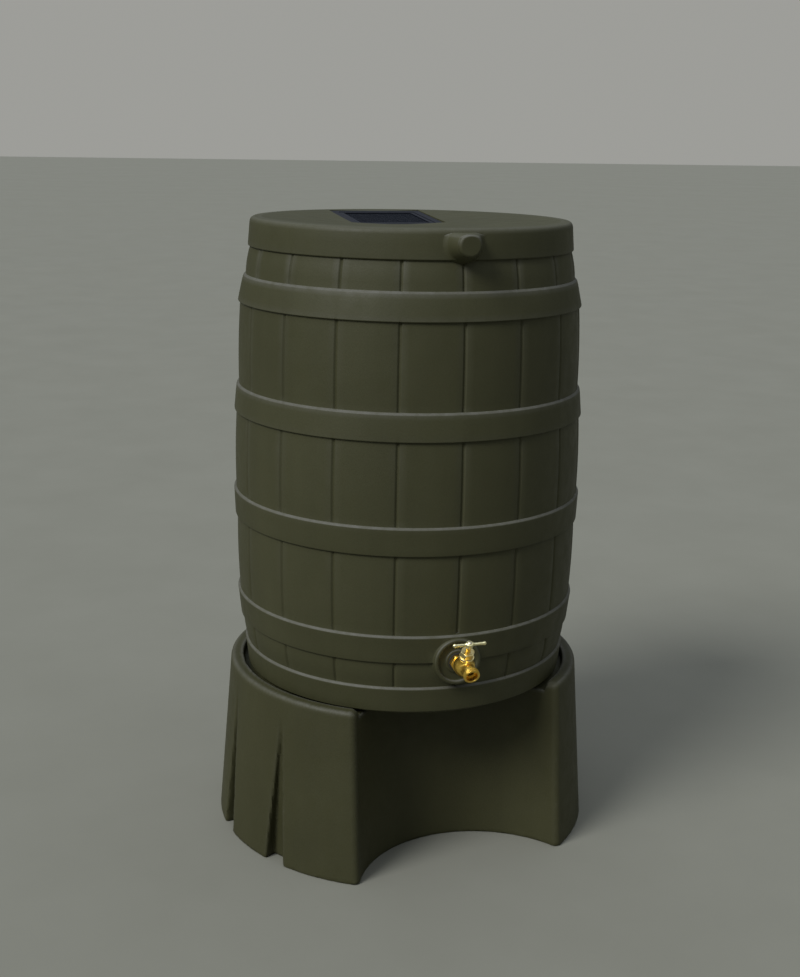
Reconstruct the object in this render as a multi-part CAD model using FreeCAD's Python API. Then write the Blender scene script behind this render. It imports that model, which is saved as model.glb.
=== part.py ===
"""Barrel-shaped rain barrel on its stand, with a lift-out inlet screen and a brass tap.

Lengths are in millimetres.  +Z is up and -Y is the barrel's front, where the tap is.
The origin is on the ground, at the centre of the whole object's footprint box, and the
barrel's own axis stands AXIS_Y behind it.  Everything is modelled about the barrel's axis
and moved back by AXIS_Y when it is written out.
"""
import FreeCAD
import Part
import math
import os

Vector = FreeCAD.Vector
X_AXIS = Vector(1, 0, 0)
Z_AXIS = Vector(0, 0, 1)
FRONT = Vector(0, -1, 0)

# Whole object
AXIS_Y = 18.9
FIT_GAP = 0.05          # radial room between pieces that are screwed or pushed together

# Stand
STAND_TOP = 299.0
STAND_FOOT_R = 339.0
COLLAR_R = 316.0
COLLAR_INNER_R = 293.0
COLLAR_ROUND = 7.0
DECK_Z = 283.0
STAND_WALL = 6.0
STAND_TURN = 5.0        # the stand's alcove faces a little to the right of the tap
ALCOVE_AXIS_Y = -371.0
ALCOVE_FOOT_R = 206.0
ALCOVE_TOP_R = 220.0
FLUTE_COUNT = 10
FLUTE_FIRST = 62.0
FLUTE_WIDTH = 41.0
FLUTE_TOP = 262.0
FLUTE_BELOW = 2.0       # how far a flute's outline runs below the ground
FLUTE_REACH = 60.0

# Barrel shell
SHELL_WALL = 4.0
BASE_R = 262.0
HOOP_STEP = 4.0         # how far a hoop stands out from the staves
STAVE_BULGE = 1.6
STAVE_COUNT = 18
SEAM_WIDTH = 6.0
SEAM_DEPTH = 2.0
# each hoop: height and radius of its lower edge, height and radius of its upper edge
HOOPS = [
    (295.0, 284.4, 339.0, 289.5),
    (385.0, 296.7, 433.0, 301.8),
    (569.0, 304.9, 617.0, 306.8),
    (755.0, 304.8, 801.0, 300.4),
    (942.0, 296.8, 988.0, 287.0),
]
RIM_LOW_Z = 1035.0
RIM_LOW_R = 279.0
RIM_R = 275.0
TOP_Z = 1083.0
RIM_ROUND = 10.0
DISH_Z = 1067.5         # the top is a shallow dish that leads rain to the screen
DISH_FLAT_R = 70.0
DISH_RIM_R = 256.0

# Overflow spout, on the front of the rim
OVERFLOW_Z = 1059.5
SPOUT_ROOT_R = 35.0
SPOUT_ROOT_Y = -262.0
SPOUT_END_R = 17.2
SPOUT_END_Y = -308.0
SPOUT_TOP = 17.5        # the spout is level on top, this much above its axis
SPOUT_BORE_R = 12.5
CAP_LIP = 5.0
CAP_PLUG_LENGTH = 18.0
CAP_WALL = 2.7
CAP_GAP = 0.3
O_RING_AT = 9.2         # from the plug's inner end
O_RING_R = 0.8          # half the ring's own thickness
O_RING_INSET = 0.95     # from the spout's bore to the middle of the ring
GROOVE_DEPTH = 1.8      # measured from the spout's bore
GROOVE_WIDTH = 2.4

# Tap pad, on the lower front
TAP_Z = 387.0
PAD_R = 39.5
PAD_RIDGE = 7.0
PAD_RIDGE_Y = -304.0
PAD_GROOVE_Y = -298.5
PAD_FACE_Y = -301.0
PAD_BACK_Y = -283.0
PAD_ROOT_Y = -290.0     # inside the wall, where the pad's ridge starts
PAD_HUB_R = 20.0
PAD_BACK_R = 26.0       # the flat thick place that the nut presses on
TAP_HOLE_R = 11.1

# Inlet screen: a square tray in the back of the dish, tilted with it
SCREEN_WIDTH = 172.0
SCREEN_DEPTH = 166.0
SCREEN_Y = 152.0
SCREEN_Z = 1074.7
SCREEN_TILT = 4.6
TRAY_FLANGE = 2.4
TRAY_WALL = 2.0
TRAY_HEIGHT = 16.0
TRAY_ROOM = 0.8         # room all round the tray's flange in its seat
WELL_ROOM = 1.0         # room all round the tray's walls in the seat's hole
MESH_ROOM = 0.5
LEDGE = 11.0
LEDGE_THICK = 5.0
LEDGE_SIDE = 12.0       # how much wider and deeper than the screen the ledge's block is
LEDGE_END = 8.0
SEAT_REACH = 35.0       # how far the seat's cuts run past the dish
MESH_THICK = 1.0
GRID_BARS = 7
BAR_WIDTH = 2.4
BAR_HEIGHT = 3.0
HOLD_DOWN = 1.6         # thickness of the frame over the mesh
HOLD_DOWN_RIM = 7.0

# Tap
SHANK_R = 10.7
SHANK_END_Y = -258.0
GASKET_R = 15.5
GASKET_THICK = 2.5
INNER_GASKET_R = 20.0
LOCKNUT_FLATS = 32.0
LOCKNUT_THICK = 9.0
SHANK_HEX_FLATS = 26.0
SHANK_HEX_LENGTH = 8.5
NECK_R = 10.5
GLOBE_Y = -334.0
GLOBE_RISE = 5.0        # the globe stands this much above the shank's axis
GLOBE_R = 17.5
INLET_BORE_R = 7.0
INLET_END_Y = -316.0
PASSAGE_R = 4.0
PASSAGE_DROP = 3.0      # how far the passage starts below the inlet's axis
STEM_LEAN = 26.0        # the stem leans forward from upright
SEAT_S = -3.0           # heights along the stem, from the globe's centre
PARTITION = 5.0
SEAT_HOLE_R = 4.5
CHAMBER_R = 8.5
BONNET_NECK_R = 11.8
NECK_TOP_S = 19.0
RUN_RISE = 2.0          # the outlet leaves the globe this far up the stem's axis
RUN_DROP = 2.5          # it runs forward and this much down, then bends at its elbow
RUN_LENGTH = 25.4
OUTLET_DROP = 22.0      # past the elbow the outlet points forward and this much down
OUTLET_LENGTH = 12.5
OUTLET_TUBE_R = 10.0
HOSE_THREAD_R = 13.45
HOSE_THREAD_LENGTH = 10.0
HOSE_BORE_R = 9.5
OUTLET_BORE_R = 6.5

# Tap's moving pieces and bonnet, heights along the stem
BONNET_FLANGE_R = 12.2
BONNET_FLANGE_S = 20.0
BONNET_FLANGE_TOP_S = 24.0
BONNET_BOTTOM_S = 13.5
BONNET_TOP_S = 31.0
BONNET_THREAD_R = 8.4
PACKING_FLOOR_S = 27.0
PACKING_R = 6.6
PACKING_WASHER = 0.8
NUT_FLATS = 21.0
NUT_BOTTOM_S = 24.6
NUT_TOP_S = 34.5
STEM_R = 4.0
STEM_THREAD_R = 5.5
STEM_THREAD_S = 14.0
STEM_THREAD_LENGTH = 7.0
STEM_SQUARE = 5.6
STEM_SQUARE_S = 44.5
STEM_TOP_S = 52.0
HOLDER_R = 7.0
HOLDER_S = -0.4
HOLDER_TOP_S = 3.0
WASHER_R = 6.6
HUB_R = 6.2
HUB_TOP_S = 53.5
HANDLE_S = 50.0
HANDLE_HALF = 25.2
HANDLE_ROD_R = 2.2
HANDLE_KNOB_R = 3.2
SCREW_HEAD_R = 3.8
SCREW_HEAD = 2.2
SCREW_R = 1.9
SCREW_DEPTH = 8.0
WASHER_SCREW_HEAD_R = 3.2
WASHER_SCREW_HEAD = 1.4
THREAD_RELIEF = 0.5     # the bonnet's thread ends this much under the packing's floor
STEM_HOLE_ROOM = 0.3    # room round the stem in the packing nut's hole

LEAN = math.radians(STEM_LEAN)
DROP = math.radians(OUTLET_DROP)
STEM_DIR = Vector(0, -math.sin(LEAN), math.cos(LEAN))
RUN_DIR = Vector(0, -math.cos(math.radians(RUN_DROP)), -math.sin(math.radians(RUN_DROP)))
OUTLET_DIR = Vector(0, -math.cos(DROP), -math.sin(DROP))
GLOBE = Vector(0, GLOBE_Y, TAP_Z + GLOBE_RISE)
RUN_START = GLOBE + STEM_DIR * RUN_RISE
ELBOW = RUN_START + RUN_DIR * RUN_LENGTH


# ---------------------------------------------------------------- building blocks
def rod(radius, length, base, axis):
    """A plain cylinder."""
    return Part.makeCylinder(radius, length, base, axis)


def ring(outer, inner, length, base, axis):
    """A cylinder with a hole right through it."""
    return rod(outer, length, base, axis).cut(rod(inner, length + 2, base - axis, axis))


def hexagon(across_flats, length, base, axis):
    """A hexagonal prism, one corner towards the local X axis."""
    corner = across_flats / math.sqrt(3)
    points = [Vector(corner * math.cos(math.radians(a)), corner * math.sin(math.radians(a)), 0)
              for a in range(0, 361, 60)]
    prism = Part.Face(Part.makePolygon(points)).extrude(Vector(0, 0, length))
    prism.Placement = FreeCAD.Placement(base, FreeCAD.Rotation(Z_AXIS, axis))
    return prism


def box(width, depth, low, high, centre_y=0.0):
    """A box centred on X, from height low to high."""
    corner = Vector(-width / 2, centre_y - depth / 2, low)
    return Part.makeBox(width, depth, high - low, corner)


def spun(edges):
    """The solid that a closed outline in the XZ plane makes when it turns about Z."""
    face = Part.Face(Part.Wire(edges))
    return face.revolve(Vector(0, 0, 0), Z_AXIS, 360)


def line(start, end):
    """A straight edge between two (radius, height) points."""
    return Part.LineSegment(Vector(start[0], 0, start[1]), Vector(end[0], 0, end[1])).toShape()


def arc(start, middle, end):
    """An arc through three (radius, height) points."""
    a, b, c = (Vector(p[0], 0, p[1]) for p in (start, middle, end))
    return Part.Arc(a, b, c).toShape()


def chain(points):
    """Straight edges through a list of (radius, height) points."""
    return [line(a, b) for a, b in zip(points, points[1:])]


def stem_point(s):
    """The point on the stem's axis at height s above the globe's centre."""
    return GLOBE + STEM_DIR * s


def on_stem(radius, low, high):
    """A cylinder on the stem's axis between two heights."""
    return rod(radius, high - low, stem_point(low), STEM_DIR)


def ring_on_stem(outer, inner, low, high):
    """A ring on the stem's axis between two heights."""
    return ring(outer, inner, high - low, stem_point(low), STEM_DIR)


def turned(shape, degrees):
    """A copy of the shape turned about the barrel's axis."""
    copy = shape.copy()
    copy.rotate(Vector(0, 0, 0), Z_AXIS, degrees)
    return copy


def in_screen_frame(shape):
    """Move a shape made flat about the origin to the screen's tilted seat."""
    tilt = FreeCAD.Rotation(X_AXIS, SCREEN_TILT)
    shape.Placement = FreeCAD.Placement(Vector(0, SCREEN_Y, SCREEN_Z), tilt).multiply(shape.Placement)
    return shape


# ---------------------------------------------------------------- stand
def flute(angle, inset):
    """The tapering notch between two panels; its floor is as upright as the collar."""
    half = FLUTE_WIDTH / 2 + inset
    floor = COLLAR_R - inset
    left = Vector(-half, -floor, -FLUTE_BELOW)
    right = Vector(half, -floor, -FLUTE_BELOW)
    tip = Vector(0, -floor, FLUTE_TOP + inset)
    notch = Part.Face(Part.makePolygon([left, right, tip, left])).extrude(FRONT * FLUTE_REACH)
    return turned(notch, angle)


def stand_block(inset):
    """The stand's solid outline, shrunk inwards by inset."""
    top = STAND_TOP - inset
    collar = COLLAR_R - inset
    foot = STAND_FOOT_R - inset
    low = (collar, top - COLLAR_ROUND)
    bend = COLLAR_ROUND * (1 - math.sqrt(0.5))
    block = spun([line((0, 0), (foot, 0)),
                  line((foot, 0), low),
                  arc(low, (collar - bend, top - bend), (collar - COLLAR_ROUND, top)),
                  line((collar - COLLAR_ROUND, top), (0, top)),
                  line((0, top), (0, 0))])
    alcove = Part.makeCone(ALCOVE_FOOT_R + inset, ALCOVE_TOP_R + inset, STAND_TOP + 2,
                           Vector(0, ALCOVE_AXIS_Y, -1), Z_AXIS)
    step = (360 - 2 * FLUTE_FIRST) / (FLUTE_COUNT - 1)
    flutes = [flute(FLUTE_FIRST + k * step, inset) for k in range(FLUTE_COUNT)]
    return block.cut(alcove).cut(flutes)


def make_stand():
    """One hollow moulding, open underneath, with a collar that holds the barrel."""
    pocket = rod(COLLAR_INNER_R, STAND_TOP, Vector(0, 0, DECK_Z), Z_AXIS)
    headroom = rod(STAND_FOOT_R + 5, STAND_TOP, Vector(0, 0, DECK_Z - STAND_WALL), Z_AXIS)
    hollow = stand_block(STAND_WALL).cut(headroom)
    below = rod(STAND_FOOT_R + 5, 1, Vector(0, 0, -1), Z_AXIS)
    return turned(stand_block(0).cut(pocket).cut(hollow).cut(below), STAND_TURN)


# ---------------------------------------------------------------- barrel
def stave_arc(low, high, inset):
    """The bulging side between two (radius, height) points, shrunk by inset."""
    middle = ((low[0] + high[0]) / 2 + STAVE_BULGE - inset, (low[1] + high[1]) / 2)
    return arc((low[0] - inset, low[1]), middle, (high[0] - inset, high[1]))


def stave_stretches():
    """The (radius, height) ends of the staves' bare stretches between the hoops."""
    ends = []
    tops = [(hoop[3] - HOOP_STEP, hoop[2]) for hoop in HOOPS]
    bottoms = [(hoop[1] - HOOP_STEP, hoop[0]) for hoop in HOOPS[1:]]
    bottoms.append((RIM_LOW_R - HOOP_STEP, RIM_LOW_Z))
    for top, bottom in zip(tops, bottoms):
        ends.append((top, bottom))
    return ends


def outer_outline():
    """The shell's outside, from the bottom centre to the top centre."""
    edges = chain([(0, DECK_Z), (BASE_R, DECK_Z), (HOOPS[0][1] - HOOP_STEP, HOOPS[0][0] - 1)])
    edges += chain([(HOOPS[0][1] - HOOP_STEP, HOOPS[0][0] - 1), (HOOPS[0][1], HOOPS[0][0])])
    stretches = stave_stretches()
    for hoop, stretch in zip(HOOPS, stretches):
        edges += chain([(hoop[1], hoop[0]), (hoop[3], hoop[2]), stretch[0]])
        edges.append(stave_arc(stretch[0], stretch[1], 0))
        following = (stretch[1][0] + HOOP_STEP, stretch[1][1])
        edges.append(line(stretch[1], following))
    bend = RIM_ROUND * (1 - math.sqrt(0.5))
    shoulder = (RIM_R, TOP_Z - RIM_ROUND)
    crown = (RIM_R - RIM_ROUND, TOP_Z)
    edges.append(line((RIM_LOW_R, RIM_LOW_Z), shoulder))
    edges.append(arc(shoulder, (RIM_R - bend, TOP_Z - bend), crown))
    edges += chain([crown, (DISH_RIM_R, TOP_Z), (DISH_FLAT_R, DISH_Z), (0, DISH_Z)])
    edges.append(line((0, DISH_Z), (0, DECK_Z)))
    return edges


def inner_outline():
    """The shell's inside: smooth, one wall inside the staves."""
    low = (BASE_R - SHELL_WALL, DECK_Z + SHELL_WALL)
    side = (HOOPS[0][1] - HOOP_STEP - SHELL_WALL, HOOPS[0][0] + SHELL_WALL)
    edges = chain([(0, DECK_Z + SHELL_WALL), low, side])
    previous = side
    for stretch in stave_stretches():
        start = (stretch[0][0] - SHELL_WALL, stretch[0][1])
        edges.append(line(previous, start))
        edges.append(stave_arc(stretch[0], stretch[1], SHELL_WALL))
        previous = (stretch[1][0] - SHELL_WALL, stretch[1][1])
    roof = TOP_Z - SHELL_WALL - RIM_ROUND
    edges += chain([previous, (RIM_R - HOOP_STEP - SHELL_WALL, roof), (DISH_RIM_R, TOP_Z - SHELL_WALL),
                    (DISH_FLAT_R, DISH_Z - SHELL_WALL), (0, DISH_Z - SHELL_WALL), (0, DECK_Z + SHELL_WALL)])
    return edges


def seam_cutter(low, high):
    """A thin sliver of a turn that cuts one seam between two staves."""
    deep = [(p[0] - SEAM_DEPTH, p[1]) for p in (low, high)]
    wide = [(p[0] + HOOP_STEP, p[1]) for p in (high, low)]
    edges = [stave_arc(deep[0], deep[1], 0)] + chain([deep[1], wide[0], wide[1], deep[0]])
    angle = math.degrees(SEAM_WIDTH / high[0])
    cutter = Part.Face(Part.Wire(edges)).revolve(Vector(0, 0, 0), Z_AXIS, angle)
    return turned(cutter, -90 - angle / 2)


def seam_cutters():
    """Every seam: one in each bare stretch, once for each stave."""
    pitch = 360 / STAVE_COUNT
    return [turned(seam_cutter(low, high), k * pitch)
            for low, high in stave_stretches() for k in range(STAVE_COUNT)]


def add_tap_pad(shell):
    """The round pad that the tap is screwed through, with a ridge round its edge."""
    centre = Vector(0, 0, TAP_Z)
    root = centre + FRONT * -PAD_ROOT_Y
    back = centre + FRONT * -PAD_BACK_Y
    thickness = PAD_BACK_Y - PAD_FACE_Y
    pad = rod(PAD_R, PAD_ROOT_Y - PAD_RIDGE_Y, root, FRONT)
    boss = rod(PAD_BACK_R, thickness, back, FRONT)
    well = rod(PAD_R - PAD_RIDGE, thickness, centre + FRONT * -PAD_GROOVE_Y, FRONT)
    hub = rod(PAD_HUB_R, thickness, back, FRONT)
    hole = rod(TAP_HOLE_R, 3 * thickness, back - FRONT * thickness, FRONT)
    return shell.fuse(pad).fuse(boss).cut(well).fuse(hub).cut(hole)


def spout_radius(y):
    """The overflow spout's outer radius at y."""
    share = (y - SPOUT_ROOT_Y) / (SPOUT_END_Y - SPOUT_ROOT_Y)
    return SPOUT_ROOT_R + share * (SPOUT_END_R - SPOUT_ROOT_R)


def spout_cone(start_y, end_y):
    """A stretch of the overflow spout's cone, cut off level on top."""
    cone = Part.makeCone(spout_radius(start_y), spout_radius(end_y), start_y - end_y,
                         Vector(0, start_y, OVERFLOW_Z), FRONT)
    above = box(200, 200, OVERFLOW_Z + SPOUT_TOP, TOP_Z + 50, SPOUT_END_Y)
    return cone.cut(above)


def add_overflow_spout(shell):
    """A hollow cone on the rim, where the overflow leaves."""
    cone = spout_cone(SPOUT_ROOT_Y, SPOUT_END_Y + CAP_LIP)
    bore = rod(SPOUT_BORE_R, SPOUT_ROOT_R * 2, Vector(0, SPOUT_ROOT_Y + SPOUT_BORE_R, OVERFLOW_Z), FRONT)
    return shell.fuse(cone).cut(bore)


def add_screen_seat(shell):
    """A square hole in the dish with a ledge round it for the tray."""
    room = 2 * TRAY_ROOM
    ledge_bottom = -TRAY_FLANGE - LEDGE_THICK
    block = box(SCREEN_WIDTH + LEDGE_SIDE, SCREEN_DEPTH + LEDGE_END, ledge_bottom, -TRAY_FLANGE)
    rebate = box(SCREEN_WIDTH + room, SCREEN_DEPTH + room, -TRAY_FLANGE, SEAT_REACH)
    hole = box(SCREEN_WIDTH - 2 * LEDGE, SCREEN_DEPTH - 2 * LEDGE, -SEAT_REACH, SEAT_REACH)
    seated = shell.fuse(in_screen_frame(block))
    return seated.cut(in_screen_frame(rebate)).cut(in_screen_frame(hole))


def make_barrel_shell():
    """The one-piece hollow moulding that looks like staves and hoops."""
    outside = spun(outer_outline()).cut(seam_cutters())
    shell = outside.cut(spun(inner_outline()))
    shell = add_screen_seat(shell)
    shell = add_overflow_spout(shell)
    return add_tap_pad(shell)


# ---------------------------------------------------------------- overflow cap
def make_overflow_cap():
    """A cap that pushes into the spout; its face carries on the spout's cone."""
    lip = spout_cone(SPOUT_END_Y + CAP_LIP, SPOUT_END_Y)
    root = Vector(0, SPOUT_END_Y + CAP_LIP + CAP_PLUG_LENGTH, OVERFLOW_Z)
    plug = rod(SPOUT_BORE_R - CAP_GAP, CAP_PLUG_LENGTH + 1, root, FRONT)
    hollow = rod(SPOUT_BORE_R - CAP_GAP - CAP_WALL, CAP_PLUG_LENGTH, root, FRONT)
    groove_start = root + FRONT * (O_RING_AT - GROOVE_WIDTH / 2)
    groove = ring(SPOUT_BORE_R, SPOUT_BORE_R - GROOVE_DEPTH, GROOVE_WIDTH, groove_start, FRONT)
    return lip.fuse(plug).cut(hollow).cut(groove)


def make_overflow_o_ring():
    """The rubber ring in the cap's groove."""
    centre = Vector(0, SPOUT_END_Y + CAP_LIP + CAP_PLUG_LENGTH - O_RING_AT, OVERFLOW_Z)
    return Part.makeTorus(SPOUT_BORE_R - O_RING_INSET, O_RING_R, centre, FRONT)


# ---------------------------------------------------------------- inlet screen
def well_size():
    """The outer width and depth of the tray's walls, which drop through the seat's hole."""
    less = 2 * LEDGE + 2 * WELL_ROOM
    return SCREEN_WIDTH - less, SCREEN_DEPTH - less


def mesh_size():
    """The width and depth of the mesh and its frame, which lie inside the tray's walls."""
    wide, deep = well_size()
    less = 2 * TRAY_WALL + 2 * MESH_ROOM
    return wide - less, deep - less


def make_screen_tray():
    """The square tray: a flange, four short walls and a floor of crossed bars."""
    wide, deep = well_size()
    flange = box(SCREEN_WIDTH, SCREEN_DEPTH, -TRAY_FLANGE, 0)
    walls = box(wide, deep, -TRAY_HEIGHT, -TRAY_FLANGE / 2)
    inside = box(wide - 2 * TRAY_WALL, deep - 2 * TRAY_WALL, -TRAY_HEIGHT - 1, 1)
    rim = flange.fuse(walls).cut(inside)
    seat = -TRAY_FLANGE - MESH_THICK
    bars = []
    for k in range(GRID_BARS):
        offset = (k + 1) / (GRID_BARS + 1) - 0.5
        lengthways = box(BAR_WIDTH, deep - TRAY_WALL, seat - BAR_HEIGHT, seat)
        lengthways.translate(Vector(offset * wide, 0, 0))
        bars.append(lengthways)
        bars.append(box(wide - TRAY_WALL, BAR_WIDTH, seat - BAR_HEIGHT, seat, offset * deep))
    tray = rim.fuse(bars).removeSplitter()
    return in_screen_frame(tray)


def make_screen_mesh():
    """The fine mesh, as a thin sheet that lies on the tray's bars."""
    wide, deep = mesh_size()
    return in_screen_frame(box(wide, deep, -TRAY_FLANGE - MESH_THICK, -TRAY_FLANGE))


def make_screen_frame():
    """The flat square frame that holds the mesh down on the bars."""
    wide, deep = mesh_size()
    frame = box(wide, deep, -TRAY_FLANGE, HOLD_DOWN - TRAY_FLANGE)
    window = box(wide - 2 * HOLD_DOWN_RIM, deep - 2 * HOLD_DOWN_RIM, -TRAY_HEIGHT, TRAY_HEIGHT)
    return in_screen_frame(frame.cut(window))


# ---------------------------------------------------------------- tap: fixed pieces
def make_tap_body():
    """Shank, hexagon, globe, bonnet neck and outlet, with the water's way through them."""
    shank = rod(SHANK_R, SHANK_END_Y - PAD_FACE_Y + GASKET_THICK, Vector(0, SHANK_END_Y, TAP_Z), FRONT)
    hex_start = Vector(0, PAD_FACE_Y - GASKET_THICK, TAP_Z)
    wrench = hexagon(SHANK_HEX_FLATS, SHANK_HEX_LENGTH, hex_start, FRONT)
    neck = rod(NECK_R, hex_start.y - GLOBE_Y, hex_start, FRONT)
    globe = Part.makeSphere(GLOBE_R, GLOBE)
    bonnet_neck = on_stem(BONNET_NECK_R, 0, NECK_TOP_S)
    thread_start = ELBOW + OUTLET_DIR * (OUTLET_LENGTH - HOSE_THREAD_LENGTH)
    thread = rod(HOSE_THREAD_R, HOSE_THREAD_LENGTH, thread_start, OUTLET_DIR)
    outlet = outlet_pipe(OUTLET_TUBE_R, RUN_START, OUTLET_LENGTH)
    solid = shank.fuse([wrench, neck, globe, bonnet_neck, thread] + outlet)
    return solid.cut(water_way()).removeSplitter()


def outlet_pipe(radius, start, length):
    """The outlet's forward run, its rounded elbow and the stretch past it."""
    run = ELBOW - start
    return [rod(radius, run.Length, start, run),
            Part.makeSphere(radius, ELBOW),
            rod(radius, length, ELBOW, OUTLET_DIR)]


def water_way():
    """The bores: inlet, passage under the seat, seat hole, chamber and outlet."""
    inlet_end = Vector(0, INLET_END_Y, TAP_Z)
    inlet = rod(INLET_BORE_R, SHANK_END_Y - inlet_end.y, Vector(0, SHANK_END_Y, TAP_Z), FRONT)
    under_seat = stem_point(SEAT_S - PARTITION - PASSAGE_DROP)
    passage_start = Vector(0, INLET_END_Y + PASSAGE_DROP, TAP_Z - PASSAGE_DROP)
    run = under_seat - passage_start
    passage = rod(PASSAGE_R, run.Length, passage_start, run)
    lower = on_stem(PASSAGE_R + 1, SEAT_S - PARTITION - PASSAGE_R, SEAT_S - PARTITION)
    seat_hole = on_stem(SEAT_HOLE_R, SEAT_S - PARTITION - 1, SEAT_S + 1)
    chamber = on_stem(CHAMBER_R, SEAT_S, NECK_TOP_S + 1)
    bore = outlet_pipe(OUTLET_BORE_R, RUN_START + RUN_DIR * CHAMBER_R / 2, OUTLET_LENGTH)
    mouth_start = ELBOW + OUTLET_DIR * (OUTLET_LENGTH - HOSE_THREAD_LENGTH + 1)
    mouth = rod(HOSE_BORE_R, HOSE_THREAD_LENGTH, mouth_start, OUTLET_DIR)
    return [inlet, passage, lower, seat_hole, chamber, mouth] + bore


def make_outer_gasket():
    """The rubber washer between the tap's hexagon and the pad."""
    return ring(GASKET_R, SHANK_R + FIT_GAP, GASKET_THICK, Vector(0, PAD_FACE_Y, TAP_Z), FRONT)


def make_inner_gasket():
    """The rubber washer inside the barrel, under the locknut."""
    base = Vector(0, PAD_BACK_Y + GASKET_THICK, TAP_Z)
    return ring(INNER_GASKET_R, SHANK_R + FIT_GAP, GASKET_THICK, base, FRONT)


def make_locknut():
    """The hexagon nut inside the barrel that clamps the tap in its hole."""
    base = Vector(0, PAD_BACK_Y + GASKET_THICK + LOCKNUT_THICK, TAP_Z)
    nut = hexagon(LOCKNUT_FLATS, LOCKNUT_THICK, base, FRONT)
    return nut.cut(rod(SHANK_R + FIT_GAP, LOCKNUT_THICK + 2, base - FRONT, FRONT))


def make_bonnet():
    """Screws into the globe's neck, guides the stem's thread and holds the packing."""
    flange = on_stem(BONNET_FLANGE_R, BONNET_FLANGE_S, BONNET_FLANGE_TOP_S)
    thread = on_stem(BONNET_THREAD_R, BONNET_BOTTOM_S, BONNET_TOP_S)
    stem_bore = on_stem(STEM_THREAD_R + FIT_GAP, BONNET_BOTTOM_S - 1, PACKING_FLOOR_S - THREAD_RELIEF)
    shank_bore = on_stem(STEM_R + FIT_GAP, BONNET_BOTTOM_S, BONNET_TOP_S + 1)
    packing = on_stem(PACKING_R, PACKING_FLOOR_S, BONNET_TOP_S + 1)
    return flange.fuse(thread).cut([stem_bore, shank_bore, packing])


def make_bonnet_gasket():
    """The fibre ring between the globe's neck and the bonnet's flange."""
    return ring_on_stem(BONNET_NECK_R - 0.3, BONNET_THREAD_R + FIT_GAP, NECK_TOP_S, BONNET_FLANGE_S)


def make_packing_washer():
    """The thin brass washer under the packing."""
    top = PACKING_FLOOR_S + PACKING_WASHER
    return ring_on_stem(PACKING_R - FIT_GAP, STEM_R + FIT_GAP, PACKING_FLOOR_S, top)


def make_packing_ring():
    """The soft packing that seals the stem."""
    bottom = PACKING_FLOOR_S + PACKING_WASHER
    return ring_on_stem(PACKING_R - FIT_GAP, STEM_R + FIT_GAP, bottom, BONNET_TOP_S)


def make_packing_nut():
    """The hexagon cap nut that presses on the packing."""
    nut = hexagon(NUT_FLATS, NUT_TOP_S - NUT_BOTTOM_S, stem_point(NUT_BOTTOM_S), STEM_DIR)
    thread = on_stem(BONNET_THREAD_R + FIT_GAP, NUT_BOTTOM_S - 1, BONNET_TOP_S)
    hole = on_stem(STEM_R + STEM_HOLE_ROOM, NUT_BOTTOM_S, NUT_TOP_S + 1)
    return nut.cut([thread, hole])


# ---------------------------------------------------------------- tap: moving pieces
def make_disc_holder():
    """The brass cup on the stem's foot; it rises without turning."""
    cup = on_stem(HOLDER_R, HOLDER_S, HOLDER_TOP_S)
    return cup.cut(on_stem(SCREW_R + FIT_GAP, HOLDER_S - 1, HOLDER_TOP_S + 1))


def make_seat_washer():
    """The rubber washer that closes the seat."""
    return ring_on_stem(WASHER_R, SCREW_R + FIT_GAP, SEAT_S + FIT_GAP, HOLDER_S)


def make_washer_screw():
    """The screw that holds the washer in the cup, its head inside the seat's hole."""
    head = on_stem(WASHER_SCREW_HEAD_R, SEAT_S - WASHER_SCREW_HEAD, SEAT_S + FIT_GAP)
    return head.fuse(on_stem(SCREW_R, SEAT_S, HOLDER_TOP_S - 0.2))


def make_stem():
    """Foot, thread, shank and the square that carries the handle."""
    foot = on_stem(STEM_R - 0.5, HOLDER_TOP_S + FIT_GAP, STEM_THREAD_S + 1)
    thread = on_stem(STEM_THREAD_R, STEM_THREAD_S, STEM_THREAD_S + STEM_THREAD_LENGTH)
    shank = on_stem(STEM_R, STEM_THREAD_S, STEM_SQUARE_S)
    square = box(STEM_SQUARE, STEM_SQUARE, STEM_SQUARE_S - 1, STEM_TOP_S)
    square.Placement = FreeCAD.Placement(GLOBE, FreeCAD.Rotation(Z_AXIS, STEM_DIR))
    tapped = on_stem(SCREW_R + FIT_GAP, STEM_TOP_S - SCREW_DEPTH - 1, STEM_TOP_S + 1)
    return foot.fuse([thread, shank, square]).cut(tapped)


def make_t_handle():
    """A hub with a thin bar each way, swelling to a small knob at each end."""
    hub = on_stem(HUB_R, STEM_SQUARE_S, HUB_TOP_S)
    centre = stem_point(HANDLE_S)
    pieces = []
    for side in (-1, 1):
        way = X_AXIS * side
        pieces.append(Part.makeCone(HANDLE_ROD_R, HANDLE_KNOB_R - 0.3, HANDLE_HALF, centre, way))
        pieces.append(Part.makeSphere(HANDLE_KNOB_R, centre + way * HANDLE_HALF))
    room = STEM_SQUARE + 2 * FIT_GAP
    socket = box(room, room, STEM_SQUARE_S - 2, STEM_TOP_S + 0.2)
    socket.Placement = FreeCAD.Placement(GLOBE, FreeCAD.Rotation(Z_AXIS, STEM_DIR))
    hole = on_stem(SCREW_R + FIT_GAP, STEM_TOP_S - 2, HUB_TOP_S + 1)
    return hub.fuse(pieces).cut([socket, hole])


def make_handle_screw():
    """The round-headed screw that keeps the handle on the stem."""
    head = on_stem(SCREW_HEAD_R, HUB_TOP_S, HUB_TOP_S + SCREW_HEAD)
    return head.fuse(on_stem(SCREW_R, STEM_TOP_S - SCREW_DEPTH, HUB_TOP_S))


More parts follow.
